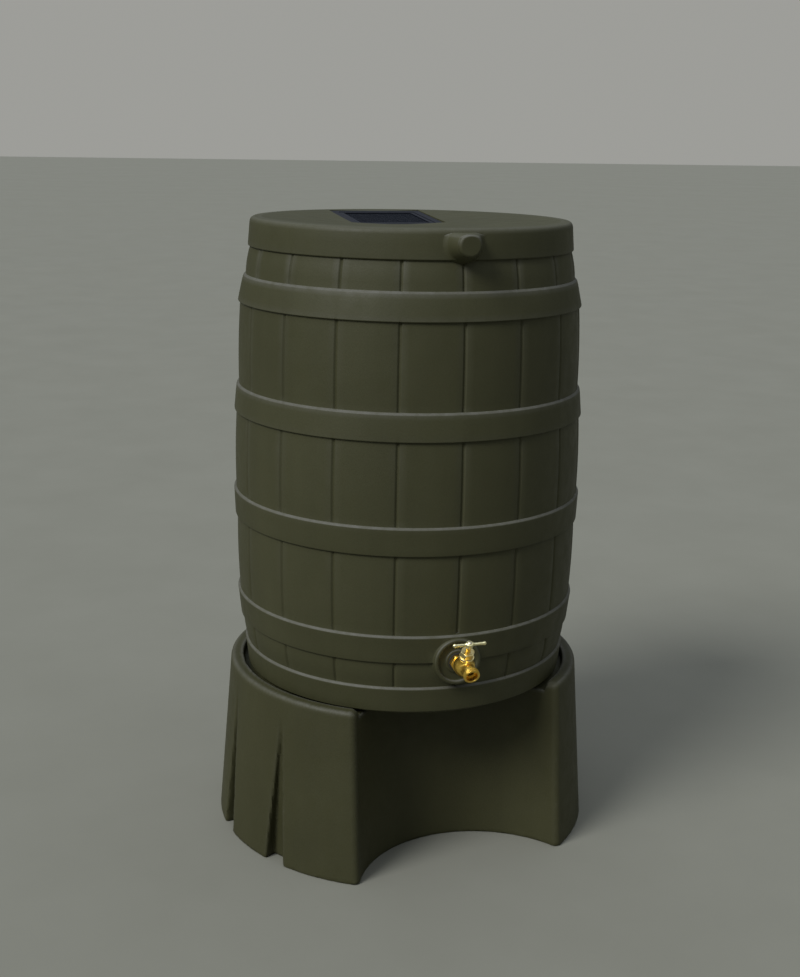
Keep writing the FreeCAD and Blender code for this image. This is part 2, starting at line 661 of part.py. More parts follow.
MAKERS = {
    "stand": make_stand,
    "barrel_shell": make_barrel_shell,
    "overflow_cap": make_overflow_cap,
    "overflow_o_ring": make_overflow_o_ring,
    "screen_tray": make_screen_tray,
    "screen_mesh": make_screen_mesh,
    "screen_frame": make_screen_frame,
    "tap_body": make_tap_body,
    "tap_outer_gasket": make_outer_gasket,
    "tap_inner_gasket": make_inner_gasket,
    "tap_locknut": make_locknut,
    "bonnet": make_bonnet,
    "bonnet_gasket": make_bonnet_gasket,
    "packing_washer": make_packing_washer,
    "packing_ring": make_packing_ring,
    "packing_nut": make_packing_nut,
    "disc_holder": make_disc_holder,
    "seat_washer": make_seat_washer,
    "washer_screw": make_washer_screw,
    "stem": make_stem,
    "t_handle": make_t_handle,
    "handle_screw": make_handle_screw,
}


def write_parts():
    """Write one STEP file per piece and print what each one measures."""
    os.makedirs("parts", exist_ok=True)
    for name, maker in MAKERS.items():
        shape = maker()
        shape.translate(Vector(0, AXIS_Y, 0))
        shape.exportStep("parts/" + name + ".step")
        size = shape.BoundBox
        print(f"{name:18} solids {len(shape.Solids)} valid {shape.isValid()} volume {shape.Volume:12.1f} "
              f"x {size.XMin:7.1f} {size.XMax:7.1f} y {size.YMin:7.1f} {size.YMax:7.1f} "
              f"z {size.ZMin:7.1f} {size.ZMax:7.1f}")


write_parts()
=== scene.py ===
"""Looks of the rain barrel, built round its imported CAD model.

Shapes are worked out in millimetres about the barrel's own axis, as in the CAD source, and
moved into the frame when a piece is made.
"""

import math

import bpy
import numpy as np
from mathutils import Matrix, Vector


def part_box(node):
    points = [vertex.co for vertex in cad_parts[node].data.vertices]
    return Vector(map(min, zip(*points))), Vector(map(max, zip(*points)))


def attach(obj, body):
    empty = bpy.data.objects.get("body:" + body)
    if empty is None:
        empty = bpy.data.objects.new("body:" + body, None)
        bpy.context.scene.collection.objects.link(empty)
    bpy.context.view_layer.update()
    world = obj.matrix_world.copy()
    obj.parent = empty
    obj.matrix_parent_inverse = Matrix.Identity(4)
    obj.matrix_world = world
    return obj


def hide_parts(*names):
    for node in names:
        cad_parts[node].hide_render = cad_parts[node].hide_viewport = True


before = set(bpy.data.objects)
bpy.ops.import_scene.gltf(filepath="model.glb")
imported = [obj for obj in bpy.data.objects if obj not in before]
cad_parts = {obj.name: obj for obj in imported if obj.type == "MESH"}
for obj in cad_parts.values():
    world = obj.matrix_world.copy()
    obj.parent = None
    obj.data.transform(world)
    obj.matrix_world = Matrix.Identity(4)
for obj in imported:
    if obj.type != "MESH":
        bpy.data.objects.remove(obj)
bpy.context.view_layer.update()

MM = 0.001
shell_low, shell_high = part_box("barrel_shell")
_, stand_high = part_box("stand")

# Driving sizes, in millimetres about the barrel's axis. The shell is as deep behind its axis
# as it is wide beside it, so the difference is how far back the axis stands.
AXIS_Y = (shell_high.y - shell_high.x) / MM
TOP_Z = shell_high.z / MM
BASE_Z = shell_low.z / MM
STAND_TOP = stand_high.z / MM
STAND_FOOT_R = 339.0
COLLAR_R = 316.0
COLLAR_INNER_R = 293.0
COLLAR_ROUND = 7.0
STAND_WALL = 6.0
STAND_TURN = 5.0
ALCOVE_AXIS_Y = -371.0
ALCOVE_FOOT_R = 206.0
ALCOVE_TOP_R = 220.0
ALCOVE_ROUND = 12.0
FLUTE_COUNT = 10
FLUTE_FIRST = 62.0
FLUTE_WIDTH = 41.0
FLUTE_TOP = 262.0
FLUTE_ROUND = 3.5

SHELL_WALL = 4.0
BASE_R = 262.0
HOOP_STEP = 4.0
HOOP_BEVEL = 3.4         # height of the soft bevel at a hoop's upper edge
STAVE_BULGE = 1.6
STAVE_COUNT = 18
SEAM_HALF = 4.4
SEAM_DEPTH = 2.6
# each hoop: height and radius of its lower edge, height and radius of its upper edge
HOOPS = [
    (295.0, 284.4, 339.0, 289.5),
    (385.0, 296.7, 433.0, 301.8),
    (569.0, 304.9, 617.0, 306.8),
    (755.0, 304.8, 801.0, 300.4),
    (942.0, 296.8, 988.0, 287.0),
]
RIM_LOW_Z = 1035.0
RIM_LOW_R = 279.0
RIM_R = 275.0
RIM_ROUND = 10.0
DISH_Z = 1067.5
DISH_FLAT_R = 70.0
DISH_RIM_R = 256.0

OVERFLOW_Z = 1059.5
SPOUT_ROOT_R = 35.0
SPOUT_ROOT_Y = -262.0
SPOUT_END_R = 17.2
SPOUT_END_Y = -308.0
SPOUT_TOP = 17.5
SPOUT_BORE_R = 12.5
CAP_LIP = 5.0
CAP_PLUG_LENGTH = 18.0
CAP_GAP = 0.3
CAP_WALL = 2.7
O_RING_AT = 9.2          # from the plug's inner end
GROOVE_DEPTH = 1.8
GROOVE_WIDTH = 2.4

TAP_Z = 387.0
PAD_R = 39.5
PAD_RIDGE = 7.0
PAD_RIDGE_Y = -304.0
PAD_GROOVE_Y = -298.5
PAD_FACE_Y = -301.0
PAD_BACK_Y = -283.0
PAD_HUB_R = 20.0
PAD_BACK_R = 26.0
TAP_HOLE_R = 11.1

SCREEN_WIDTH = 172.0
SCREEN_DEPTH = 166.0
SCREEN_Y = 152.0
SCREEN_Z = 1074.7
SCREEN_TILT = 4.6
TRAY_FLANGE = 2.4
TRAY_WALL = 2.0
TRAY_HEIGHT = 16.0
LEDGE = 11.0
LEDGE_THICK = 5.0
LEDGE_SIDE = 12.0        # how much wider and deeper than the screen the ledge's block is
LEDGE_END = 8.0
TRAY_ROOM = 0.8
WELL_ROOM = 1.0
MESH_ROOM = 0.5
MESH_THICK = 1.0
HOLD_DOWN = 1.6
HOLD_DOWN_RIM = 7.0
MOULD_EDGE = 0.5         # the soft edge of the screen's mouldings
GRID_BARS = 7
BAR_WIDTH = 2.4
BAR_HEIGHT = 3.0
THREAD_PITCH = 2.4
THREAD_R = 0.42

SHANK_R = 10.7
SHANK_END_Y = -258.0
SHANK_PITCH = 1.8
SHANK_HEX_FLATS = 26.0
SHANK_HEX_LENGTH = 8.5
SHANK_HEX_TURNED_R = 13.6
GASKET_THICK = 2.5
NECK_R = 10.5
GLOBE_Y = -334.0
GLOBE_Z = 392.0
GLOBE_R = 17.5
INLET_BORE_R = 7.0
INLET_END_Y = -316.0
PASSAGE_R = 4.0
PASSAGE_DROP = 3.0
SEAT_HOLE_R = 4.5
CHAMBER_R = 8.5
STEM_LEAN = 26.0
# heights along the stem, from the globe's centre
PARTITION_S = -8.0
SEAT_S = -3.0
RUN_RISE = 2.0
NECK_TOP_S = 19.0
BONNET_NECK_R = 11.8
RUN_DROP = 2.5
RUN_LENGTH = 25.4
OUTLET_DROP = 22.0
OUTLET_LENGTH = 12.5
OUTLET_TUBE_R = 10.0
OUTLET_BORE_R = 6.5
HOSE_THREAD_R = 13.45
HOSE_THREAD_LENGTH = 10.0
HOSE_THREAD_START = 5.6  # along the outlet, where the ridges begin
HOSE_PITCH = 2.2
HOSE_BORE_R = 9.5

BONNET_BOTTOM_S = 13.5
BONNET_FLANGE_S = 20.0
BONNET_FLANGE_TOP_S = 24.0
BONNET_FLANGE_R = 12.2
BONNET_TOP_S = 31.0
BONNET_THREAD_R = 8.4
BONNET_BORE_TOP_S = 26.5
STEM_THREAD_BORE_R = 5.55
STEM_BORE_R = 4.05
PACKING_FLOOR_S = 27.0
PACKING_R = 6.6
NUT_FLATS = 21.0
NUT_BOTTOM_S = 24.6
NUT_TOP_S = 34.5
NUT_HOLE_R = 4.3
HUB_R = 6.2
HUB_BOTTOM_S = 44.5
HUB_TOP_S = 53.5
SOCKET_HALF = 2.85
SOCKET_TOP_S = 52.2
HANDLE_S = 50.0
HANDLE_HALF = 25.2
HANDLE_KNOB_R = 3.2
SCREW_R = 1.9
SCREW_HEAD_R = 3.8
SCREW_BOTTOM_S = 44.0
SCREW_TOP_S = 55.7


# ---------------------------------------------------------------- mesh tools
def add_object(name, points, faces):
    """A new object from points in millimetres about the barrel's axis."""
    placed = (np.asarray(points, float) + (0, AXIS_Y, 0)) * MM
    mesh = bpy.data.meshes.new(name)
    mesh.from_pydata(placed.tolist(), [], [list(map(int, face)) for face in faces])
    mesh.validate()
    piece = bpy.data.objects.new(name, mesh)
    bpy.context.scene.collection.objects.link(piece)
    return piece


def outward(points, faces):
    """The faces, turned over if the closed mesh that they make is inside out."""
    points = np.asarray(points, float)
    volume = 0.0
    for size in (3, 4):
        group = np.array([f for f in faces if len(f) == size], int)
        if len(group):
            for k in range(1, size - 1):
                a, b, c = points[group[:, 0]], points[group[:, k]], points[group[:, k + 1]]
                volume += np.einsum("ij,ij->", a, np.cross(b, c))
    return faces if volume > 0 else [f[::-1] for f in faces]


def ring_solid(rings, start, end):
    """Points and faces of the closed solid with these rings of points and a pole at each end."""
    rings = np.asarray(rings, float)
    rows, columns = rings.shape[:2]
    points = np.vstack([rings.reshape(-1, 3), [start, end]])
    first, last = rows * columns, rows * columns + 1
    around = [(c, (c + 1) % columns) for c in range(columns)]
    faces = [(first, b, a) for a, b in around]
    for row in range(rows - 1):
        low, high = row * columns, (row + 1) * columns
        faces += [(low + a, low + b, high + b, high + a) for a, b in around]
    top = (rows - 1) * columns
    faces += [(top + a, top + b, last) for a, b in around]
    return points, outward(points, faces)


def lathe(profile, columns=96):
    """Points and faces of a solid turned about Z. The profile's (radius, height) ends are on the axis."""
    angles = np.linspace(0, 2 * math.pi, columns, endpoint=False)
    around = np.stack([np.cos(angles), np.sin(angles)], -1)
    rings = [np.column_stack([around * r, np.full(columns, z)]) for r, z in profile[1:-1]]
    return ring_solid(rings, (0, 0, profile[0][1]), (0, 0, profile[-1][1]))


def rounded(corners, steps=4):
    """A line through (radius, height, weight) corners, each rounded to its fourth value as radius."""
    path = []
    for i, corner in enumerate(corners):
        here, bend = np.array(corner[:3], float), corner[3]
        if i in (0, len(corners) - 1) or bend == 0:
            path.append(here)
            continue
        before = np.array(corners[i - 1][:3], float) - here
        after = np.array(corners[i + 1][:3], float) - here
        reach, go = np.hypot(*before[:2]), np.hypot(*after[:2])
        half_turn = (math.pi - math.acos(np.clip(before[:2] @ after[:2] / reach / go, -1, 1))) / 2
        cut = min(bend * math.tan(half_turn), 0.49 * reach, 0.49 * go)
        a, b = here + before * cut / reach, here + after * cut / go
        for t in np.linspace(0, 1, steps + 1):
            path.append(a * (1 - t) ** 2 + here * 2 * t * (1 - t) + b * t * t)
    return np.array(path)


def surface_net(field, low, high, step):
    """Points and quads of the closed surface where field is 0. The field is negative inside."""
    axes = [np.arange(a - 1.5 * step, b + 2.5 * step, step) for a, b in zip(low, high)]
    value = field(*np.meshgrid(*axes, indexing="ij", sparse=True))
    inside = value < 0
    size = np.array(value.shape)
    corners = np.array([(i, j, k) for i in (0, 1) for j in (0, 1) for k in (0, 1)])
    count = sum(inside[i:size[0] - 1 + i, j:size[1] - 1 + j, k:size[2] - 1 + k].astype(np.int8)
                for i, j, k in corners)
    cells = np.argwhere((count > 0) & (count < 8))
    number = np.full(size - 1, -1)
    number[tuple(cells.T)] = np.arange(len(cells))
    middle, hits = np.zeros(cells.shape), np.zeros(len(cells))
    for a in corners:
        for b in corners:
            if (b - a).sum() == 1 and (b >= a).all():
                at_a, at_b = value[tuple((cells + a).T)], value[tuple((cells + b).T)]
                crossed = (at_a < 0) != (at_b < 0)
                share = np.where(crossed, at_a / np.where(crossed, at_a - at_b, 1), 0)
                middle += crossed[:, None] * (a + share[:, None] * (b - a))
                hits += crossed
    origin = np.array([axis[0] for axis in axes])
    points = origin + (cells + middle / hits[:, None]) * step
    quads = []
    for d in range(3):
        e, f = (d + 1) % 3, (d + 2) % 3
        ahead = np.roll(inside, -1, axis=d)
        spots = np.argwhere(inside != ahead)
        spots = spots[(spots[:, d] < size[d] - 1) & (spots[:, e] > 0) & (spots[:, f] > 0)]
        turn = []
        for back_e, back_f in ((1, 1), (0, 1), (0, 0), (1, 0)):
            cell = spots.copy()
            cell[:, e] -= back_e
            cell[:, f] -= back_f
            turn.append(number[tuple(cell.T)])
        quad = np.stack(turn, -1)
        hollow = ~inside[tuple(spots.T)]
        quad[hollow] = quad[hollow][:, ::-1]
        quads.append(quad)
    return settled(points, field, step), np.vstack(quads)


def settled(points, field, step):
    """The points moved onto the surface where field is 0, along its steepest slope."""
    probe = 0.02 * step
    for _ in range(4):
        here = field(*points.T)
        slope = np.stack([(field(*(points + way).T) - field(*(points - way).T)) / (2 * probe)
                          for way in np.eye(3) * probe], -1)
        move = (here / np.maximum((slope ** 2).sum(-1), 0.04))[:, None] * slope
        points = points - np.clip(move, -0.4 * step, 0.4 * step)
    return points


def round_max(a, b, bend):
    """Where two solids meet inside both: their corner is rounded to the radius bend."""
    return np.minimum(np.maximum(a, b), -bend) + np.hypot(np.maximum(a + bend, 0), np.maximum(b + bend, 0))


def round_min(a, b, bend):
    """Two solids joined, with a fillet of the radius bend where they meet."""
    return -round_max(-a, -b, bend)


def apply_modifiers(piece):
    """Make the piece's modifiers part of its mesh."""
    graph = bpy.context.evaluated_depsgraph_get()
    mesh = bpy.data.meshes.new_from_object(piece.evaluated_get(graph), depsgraph=graph)
    old = piece.data
    piece.modifiers.clear()
    piece.data = mesh
    bpy.data.meshes.remove(old)


def combine(piece, steps):
    """Join the piece with others, or cut them out of it, in turn. The others are used up."""
    for operation, other in steps:
        change = piece.modifiers.new(operation, "BOOLEAN")
        change.operation = operation
        change.object = other
        change.solver = "MANIFOLD"
    apply_modifiers(piece)
    for _, other in steps:
        bpy.data.objects.remove(other)
    return piece


def soften(piece, width, segments=2, angle=40.0):
    """Round the piece's sharp edges."""
    edge = piece.modifiers.new("edges", "BEVEL")
    edge.width = width * MM
    edge.segments = segments
    edge.limit_method = "ANGLE"
    edge.angle_limit = math.radians(angle)
    edge.harden_normals = False
    apply_modifiers(piece)


def shade(piece, angle=35.0):
    """Smooth shading, with edges sharper than the angle left sharp."""
    piece.data.shade_smooth()
    piece.data.set_sharp_from_angle(angle=math.radians(angle))


def paint_edge_highlights(piece):
    """Store a painted highlight for each point: sharply rounded edges that face up, outside the dish, are
    painted pale where light from above would catch them.
    """
    mesh = piece.data
    points, normals = np.empty(len(mesh.vertices) * 3), np.empty(len(mesh.vertices) * 3)
    ends = np.empty(len(mesh.edges) * 2, np.int32)
    mesh.vertices.foreach_get("co", points)
    mesh.vertex_normals.foreach_get("vector", normals)
    mesh.edges.foreach_get("vertices", ends)
    points, normals, ends = points.reshape(-1, 3), normals.reshape(-1, 3), ends.reshape(-1, 2)
    step = points[ends[:, 1]] - points[ends[:, 0]]
    bend = ((normals[ends[:, 1]] - normals[ends[:, 0]]) * step).sum(1) / np.maximum((step ** 2).sum(1), 1e-9)
    sharp = np.zeros(len(points))
    np.maximum.at(sharp, ends[:, 0], bend)
    np.maximum.at(sharp, ends[:, 1], bend)
    # Painted highlight: stronger on sharper, more upward-facing edges; edges facing down, which sit in shade,
    # get almost none.
    painted_highlight = np.clip((sharp - 40) / 260, 0, 1) * np.clip(0.06 + 1.1 * normals[:, 2], 0, 1)
    in_dish = np.hypot(points[:, 0], points[:, 1] - AXIS_Y * MM) < DISH_RIM_R * MM
    painted_highlight[in_dish & (points[:, 2] > RIM_LOW_Z * MM)] = 0
    mesh.attributes.new("painted_highlight", "FLOAT", "POINT").data.foreach_set("value", painted_highlight)


def rod(name, radius, length, base, axis, columns=96):
    """A plain cylinder, used to cut and join."""
    points, faces = lathe([(0, 0), (radius, 0), (radius, length), (0, length)], columns)
    turn = Vector(axis).to_track_quat("Z", "Y").to_matrix()
    return add_object(name, points @ np.array(turn).T + base, faces)


def slab(name, width, depth, low, high, x=0.0, y=0.0):
    """A box in the screen's own flat frame, moved to the screen's tilted seat."""
    corners = [(x + i * width / 2, y + j * depth / 2, k)
               for k in (low, high) for i, j in ((-1, -1), (1, -1), (1, 1), (-1, 1))]
    faces = [(3, 2, 1, 0), (4, 5, 6, 7), (0, 1, 5, 4), (1, 2, 6, 5), (2, 3, 7, 6), (3, 0, 4, 7)]
    return add_object(name, in_screen_frame(corners), faces)


def in_screen_frame(points):
    """Points in the screen's own flat frame, moved to its tilted seat."""
    turn = np.array(Matrix.Rotation(math.radians(SCREEN_TILT), 3, "X"))
    return np.asarray(points, float) @ turn.T + (0, SCREEN_Y, SCREEN_Z)


# ---------------------------------------------------------------- barrel
def stave_points(low, high):
    """Corners up one bulging bare stretch between two (radius, height) ends."""
    count = max(4, round((high[1] - low[1]) / 11))
    points = []
    for t in np.linspace(0, 1, count + 1)[1:-1]:
        bulge = 4 * STAVE_BULGE * t * (1 - t)
        points.append((low[0] + (high[0] - low[0]) * t + bulge, low[1] + (high[1] - low[1]) * t, 1, 0))
    return points


def shell_outline():
    """The shell's outside from the bottom centre to the dish's centre, as (radius, height, seam share)."""
    first = HOOPS[0]
    corners = [(0, BASE_Z, 0, 0), (BASE_R / 2, BASE_Z, 0, 0), (BASE_R, BASE_Z, 0, 8),
               (first[1] - HOOP_STEP, first[0] - 1, 0, 1)]
    following = [(hoop[1], hoop[0]) for hoop in HOOPS[1:]] + [(RIM_LOW_R, RIM_LOW_Z)]
    for hoop, nearest in zip(HOOPS, following):
        low_z, low_r, high_z, high_r = hoop
        top, bottom = (high_r - HOOP_STEP, high_z), (nearest[0] - HOOP_STEP, nearest[1])
        corners += [(low_r, low_z, 0, 1.2)]
        corners += [(low_r + (high_r - low_r) * t, low_z + (high_z - low_z) * t, 0, 0)
                    for t in (0.25, 0.5, 0.75)]
        corners += [(high_r, high_z - HOOP_BEVEL, 0, 2.2), (high_r - 3.0, high_z - 0.3, 0, 1.6)]
        corners += [(*top, 1, 0.5)]
        corners += stave_points(top, bottom) + [(*bottom, 1, 0.7)]
    corners += [(RIM_LOW_R, RIM_LOW_Z, 0, 2.0)]
    corners += [(RIM_LOW_R + (RIM_R - RIM_LOW_R) * t, RIM_LOW_Z + (TOP_Z - RIM_LOW_Z) * t, 0, 0)
                for t in (0.25, 0.5)]
    corners += [(RIM_R, TOP_Z, 0, RIM_ROUND), (DISH_RIM_R, TOP_Z, 0, 7)]
    corners += [(DISH_RIM_R - k * 20, TOP_Z - k * 20 * (TOP_Z - DISH_Z) / (DISH_RIM_R - DISH_FLAT_R), 0, 0)
                for k in range(1, 9)]
    corners += [(DISH_FLAT_R, DISH_Z, 0, 30), (DISH_FLAT_R / 3, DISH_Z, 0, 0), (0, DISH_Z, 0, 0)]
    return rounded(corners)


def seam_columns():
    """Angles round the barrel, close together at each seam, and how deep the seam is at each."""
    pitch = 2 * math.pi / STAVE_COUNT
    half = SEAM_HALF / HOOPS[2][1]
    near = np.linspace(-half, half, 9)
    far = np.linspace(half, pitch - half, 9)[1:-1]
    angles = np.concatenate([np.concatenate([near, far]) + k * pitch for k in range(STAVE_COUNT)])
    off = (angles + pitch / 2) % pitch - pitch / 2
    depth = np.where(np.abs(off) < half, 0.5 + 0.5 * np.cos(math.pi * off / half), 0)
    return angles, depth * SEAM_DEPTH


def make_outside():
    """The closed solid of the barrel's outside, with its seams."""
    outline = shell_outline()
    angles, depth = seam_columns()
    rings = []
    for r, z, share in outline[1:-1]:
        radius = r - share * depth
        level = np.full(len(angles), z)
        rings.append(np.column_stack([radius * np.sin(angles), -radius * np.cos(angles), level]))
    points, faces = ring_solid(rings, (0, 0, outline[0][1]), (0, 0, outline[-1][1]))
    return add_object("barrel_shell_moulded", points, faces)


def make_cavity():
    """The solid that the water fills, one wall inside the staves."""
    profile = [(0, BASE_Z + SHELL_WALL), (BASE_R - SHELL_WALL, BASE_Z + SHELL_WALL)]
    for r, z, share in shell_outline():
        if share == 1:
            profile.append((r - SHELL_WALL, z))
    profile += [(RIM_R - HOOP_STEP - SHELL_WALL, TOP_Z - SHELL_WALL - RIM_ROUND),
                (DISH_RIM_R, TOP_Z - SHELL_WALL),
                (DISH_FLAT_R, DISH_Z - SHELL_WALL),
                (0, DISH_Z - SHELL_WALL)]
    return add_object("cavity", *lathe(profile, 90))


def barrel_side():
    """A function of x, y and z: how far outside the barrel's side a point is."""
    outline = shell_outline()
    side = outline[(outline[:, 1] > BASE_Z) & (outline[:, 0] > DISH_RIM_R + RIM_ROUND - 5)]
    heights, radii = side[:, 1], side[:, 0]
    order = np.argsort(heights, kind="stable")
    heights, radii = heights[order], radii[order]
    return lambda x, y, z: np.hypot(x, y) - np.interp(z, heights, radii)


UNDER_SKIN = 0.35       # a joined piece's skirt lies this far under the shell's skin


def make_pad():
    """The round pad that the tap goes through, its ridge and hub flowing into the shell."""
    side = barrel_side()
    ridge_mid, ridge_half = PAD_R - PAD_RIDGE / 2, PAD_RIDGE / 2
    reach = PAD_R + 9

    def field(x, y, z):
        from_axis = np.hypot(x, z - TAP_Z)
        ridge = round_max(np.abs(from_axis - ridge_mid) - ridge_half, PAD_RIDGE_Y - y, 2.6)
        floor = np.maximum(from_axis - ridge_mid, PAD_GROOVE_Y - y)
        hub = round_max(from_axis - PAD_HUB_R, PAD_FACE_Y - y, 1.6)
        outside = np.maximum(side(x, y, z) + UNDER_SKIN, ridge_mid - from_axis)
        pad = round_min(round_min(ridge, outside, 3.5), round_min(floor, hub, 1.2), 1.2)
        return np.maximum(np.maximum(pad, from_axis - reach), y + 285.0)

    low = (-reach, PAD_RIDGE_Y, TAP_Z - reach)
    high = (reach, -285.0, TAP_Z + reach)
    return add_object("pad", *surface_net(field, low, high, 1.1))


def spout_radius(y):
    """The overflow spout's outer radius at y."""
    return SPOUT_ROOT_R + (y - SPOUT_ROOT_Y) / (SPOUT_END_Y - SPOUT_ROOT_Y) * (SPOUT_END_R - SPOUT_ROOT_R)


def spout_side(x, y, z):
    """How far outside the spout's level-topped cone a point is."""
    slope = (SPOUT_ROOT_R - SPOUT_END_R) / (SPOUT_ROOT_Y - SPOUT_END_Y)
    cone = (np.hypot(x, z - OVERFLOW_Z) - spout_radius(y)) / math.hypot(1, slope)
    return round_max(cone, z - OVERFLOW_Z - SPOUT_TOP, 6.0)


def make_spout():
    """The overflow spout on the rim, up to its cap, flowing into the shell."""
    side = barrel_side()
    end = SPOUT_END_Y + CAP_LIP + 0.15

    def field(x, y, z):
        rim = np.maximum(side(x, y, z), z - TOP_Z + RIM_ROUND) + UNDER_SKIN
        rim = np.maximum(rim, RIM_LOW_Z + 1.0 - z)
        joined = round_min(spout_side(x, y, z), rim, 6.0)
        joined = np.maximum(joined, np.hypot(x, z - OVERFLOW_Z) - 44)
        return np.maximum(np.maximum(joined, end - y), y + 266.0)

    low = (-46.0, end, OVERFLOW_Z - 46)
    high = (46.0, -266.0, OVERFLOW_Z + 26)
    return add_object("spout", *surface_net(field, low, high, 1.1))


def make_barrel_shell():
    """The one-piece moulding: staves, hoops, rim, dish, pad, spout and screen seat, hollow inside."""
    shell = make_outside()
    front = (0, -1, 0)
    hole_wide, hole_deep = SCREEN_WIDTH - 2 * LEDGE, SCREEN_DEPTH - 2 * LEDGE
    under, room = -TRAY_FLANGE - LEDGE_THICK, 2 * TRAY_ROOM
    combine(shell, [
        ("DIFFERENCE", rod("pad_room", PAD_R - PAD_RIDGE / 2 - 0.4, 40, (0, -286, TAP_Z), front)),
        ("UNION", make_pad()),
        ("UNION", make_spout()),
        ("DIFFERENCE", make_cavity()),
        ("UNION", slab("ledge", SCREEN_WIDTH + LEDGE_SIDE, SCREEN_DEPTH + LEDGE_END, under, -TRAY_FLANGE)),
        ("UNION", rod("back", PAD_BACK_R, 8, (0, PAD_BACK_Y, TAP_Z), front)),
        ("DIFFERENCE", slab("rebate", SCREEN_WIDTH + room, SCREEN_DEPTH + room, -TRAY_FLANGE, 30)),
        ("DIFFERENCE", slab("hole", hole_wide, hole_deep, -40, 30)),
        ("DIFFERENCE", rod("tap_hole", TAP_HOLE_R, 60, (0, -260, TAP_Z), front)),
        ("DIFFERENCE", rod("bore", SPOUT_BORE_R, 80, (0, -245, OVERFLOW_Z), front)),
    ])
    shade(shell, 32)
    paint_edge_highlights(shell)
    return finish_piece(shell, "barrel", ["barrel_shell"], MOULDED)


def make_overflow_cap():
    """The spout's cap: its face carries on the cone, with a soft edge, and its plug is hollow."""
    lip_back = SPOUT_END_Y + CAP_LIP - 0.15
    plug_back = lip_back + CAP_PLUG_LENGTH

    def field(x, y, z):
        lip = round_max(spout_side(x, y, z), SPOUT_END_Y - y, 2.8)
        lip = round_max(lip, y - lip_back, 0.5)
        from_axis = np.hypot(x, z - OVERFLOW_Z)
        plug = round_max(from_axis - SPOUT_BORE_R + CAP_GAP, y - plug_back, 0.8)
        plug = np.maximum(plug, lip_back - 2 - y)
        from_groove = np.abs(y - plug_back + O_RING_AT)
        groove = np.maximum(SPOUT_BORE_R - GROOVE_DEPTH - from_axis, from_groove - GROOVE_WIDTH / 2)
        hollow = np.maximum(from_axis - SPOUT_BORE_R + CAP_GAP + CAP_WALL, lip_back - y)
        return np.maximum(np.maximum(np.minimum(lip, plug), -groove), -hollow)

    low = (-20, SPOUT_END_Y, OVERFLOW_Z - 20)
    high = (20, plug_back, OVERFLOW_Z + 20)
    cap = add_object("overflow_cap_moulded", *surface_net(field, low, high, 0.6))
    shade(cap, 60)
    paint_edge_highlights(cap)
    return finish_piece(cap, "cap", ["overflow_cap"], MOULDED)


# ---------------------------------------------------------------- stand
def stand_field(inset, edge):
    """A function of x, y and z: the stand's solid outline, shrunk by inset, its edges rounded."""
    top, collar, foot = STAND_TOP - inset, COLLAR_R - inset, STAND_FOOT_R - inset
    step = (360 - 2 * FLUTE_FIRST) / (FLUTE_COUNT - 1)
    turns = [math.radians(FLUTE_FIRST + k * step) for k in range(FLUTE_COUNT)]

    def field(x, y, z):
        x, y = (x * math.cos(TURN) + y * math.sin(TURN), y * math.cos(TURN) - x * math.sin(TURN))
        flare = foot + (collar - foot) * np.clip(z / (STAND_TOP - COLLAR_ROUND), 0, 1)
        block = round_max(np.hypot(x, y) - flare, z - top, COLLAR_ROUND)
        for turn in turns:
            across = x * math.cos(turn) + y * math.sin(turn)
            out = x * math.sin(turn) - y * math.cos(turn)
            half = (FLUTE_WIDTH / 2 + inset) * (1 - (z + 2) / (FLUTE_TOP + inset + 2))
            notch = round_max(np.abs(across) - half, collar - out, FLUTE_ROUND)
            block = round_max(block, -notch, FLUTE_ROUND)
        alcove_r = ALCOVE_FOOT_R + inset + (ALCOVE_TOP_R - ALCOVE_FOOT_R) * z / STAND_TOP
        block = round_max(block, alcove_r - np.hypot(x, y - ALCOVE_AXIS_Y), ALCOVE_ROUND)
        if edge:
            block = round_max(block, -z, edge)
        return block
    return field


TURN = math.radians(STAND_TURN)


def make_stand():
    """One hollow moulding, open underneath, with a collar that holds the barrel."""
    solid = stand_field(0.0, 3.0)
    hollow = stand_field(STAND_WALL, 0.0)
    deck = BASE_Z

    def outside(x, y, z):
        pocket = round_max(np.hypot(x, y) - COLLAR_INNER_R, deck - z, 3.0)
        return round_max(solid(x, y, z), -pocket, 3.0)

    def inside(x, y, z):
        return np.maximum(np.maximum(hollow(x, y, z), z - deck + STAND_WALL), -12 - z)

    reach = STAND_FOOT_R
    skin = surface_net(outside, (-reach, -reach, 0), (reach, reach, STAND_TOP), 4.0)
    stand = add_object("stand_moulded", *skin)
    room = add_object("room", *surface_net(inside, (-reach, -reach, -12), (reach, reach, deck), 7.0))
    combine(stand, [("DIFFERENCE", room)])
    shade(stand, 50)
    paint_edge_highlights(stand)
    return finish_piece(stand, "stand", ["stand"], STAND_SKIN)


# ---------------------------------------------------------------- tap
def forward(drop):
    """The direction that points forward and this many degrees down."""
    return np.array([0, -math.cos(math.radians(drop)), -math.sin(math.radians(drop))])


LEAN = math.radians(STEM_LEAN)
STEM_DIR = np.array([0, -math.sin(LEAN), math.cos(LEAN)])
GLOBE = np.array([0, GLOBE_Y, GLOBE_Z])
RUN_START = GLOBE + STEM_DIR * RUN_RISE
ELBOW = RUN_START + forward(RUN_DROP) * RUN_LENGTH


def along(x, y, z, base, way):
    """How far a point is along a line, and how far from it. The line lies in the YZ plane."""
    run = (y - base[1]) * way[1] + (z - base[2]) * way[2]
    side = (y - base[1]) * way[2] - (z - base[2]) * way[1]
    return run, np.hypot(x, side), side


def hexagon(x, side, flats):
    """How far outside a hexagon of that width across its flats a point is. Its corners point along x."""
    turns = [math.pi * (k / 3 + 1 / 6) for k in range(3)]
    faces = [abs(x * math.cos(a) + side * math.sin(a)) for a in turns]
    return np.maximum(np.maximum(faces[0], faces[1]), faces[2]) - flats / 2


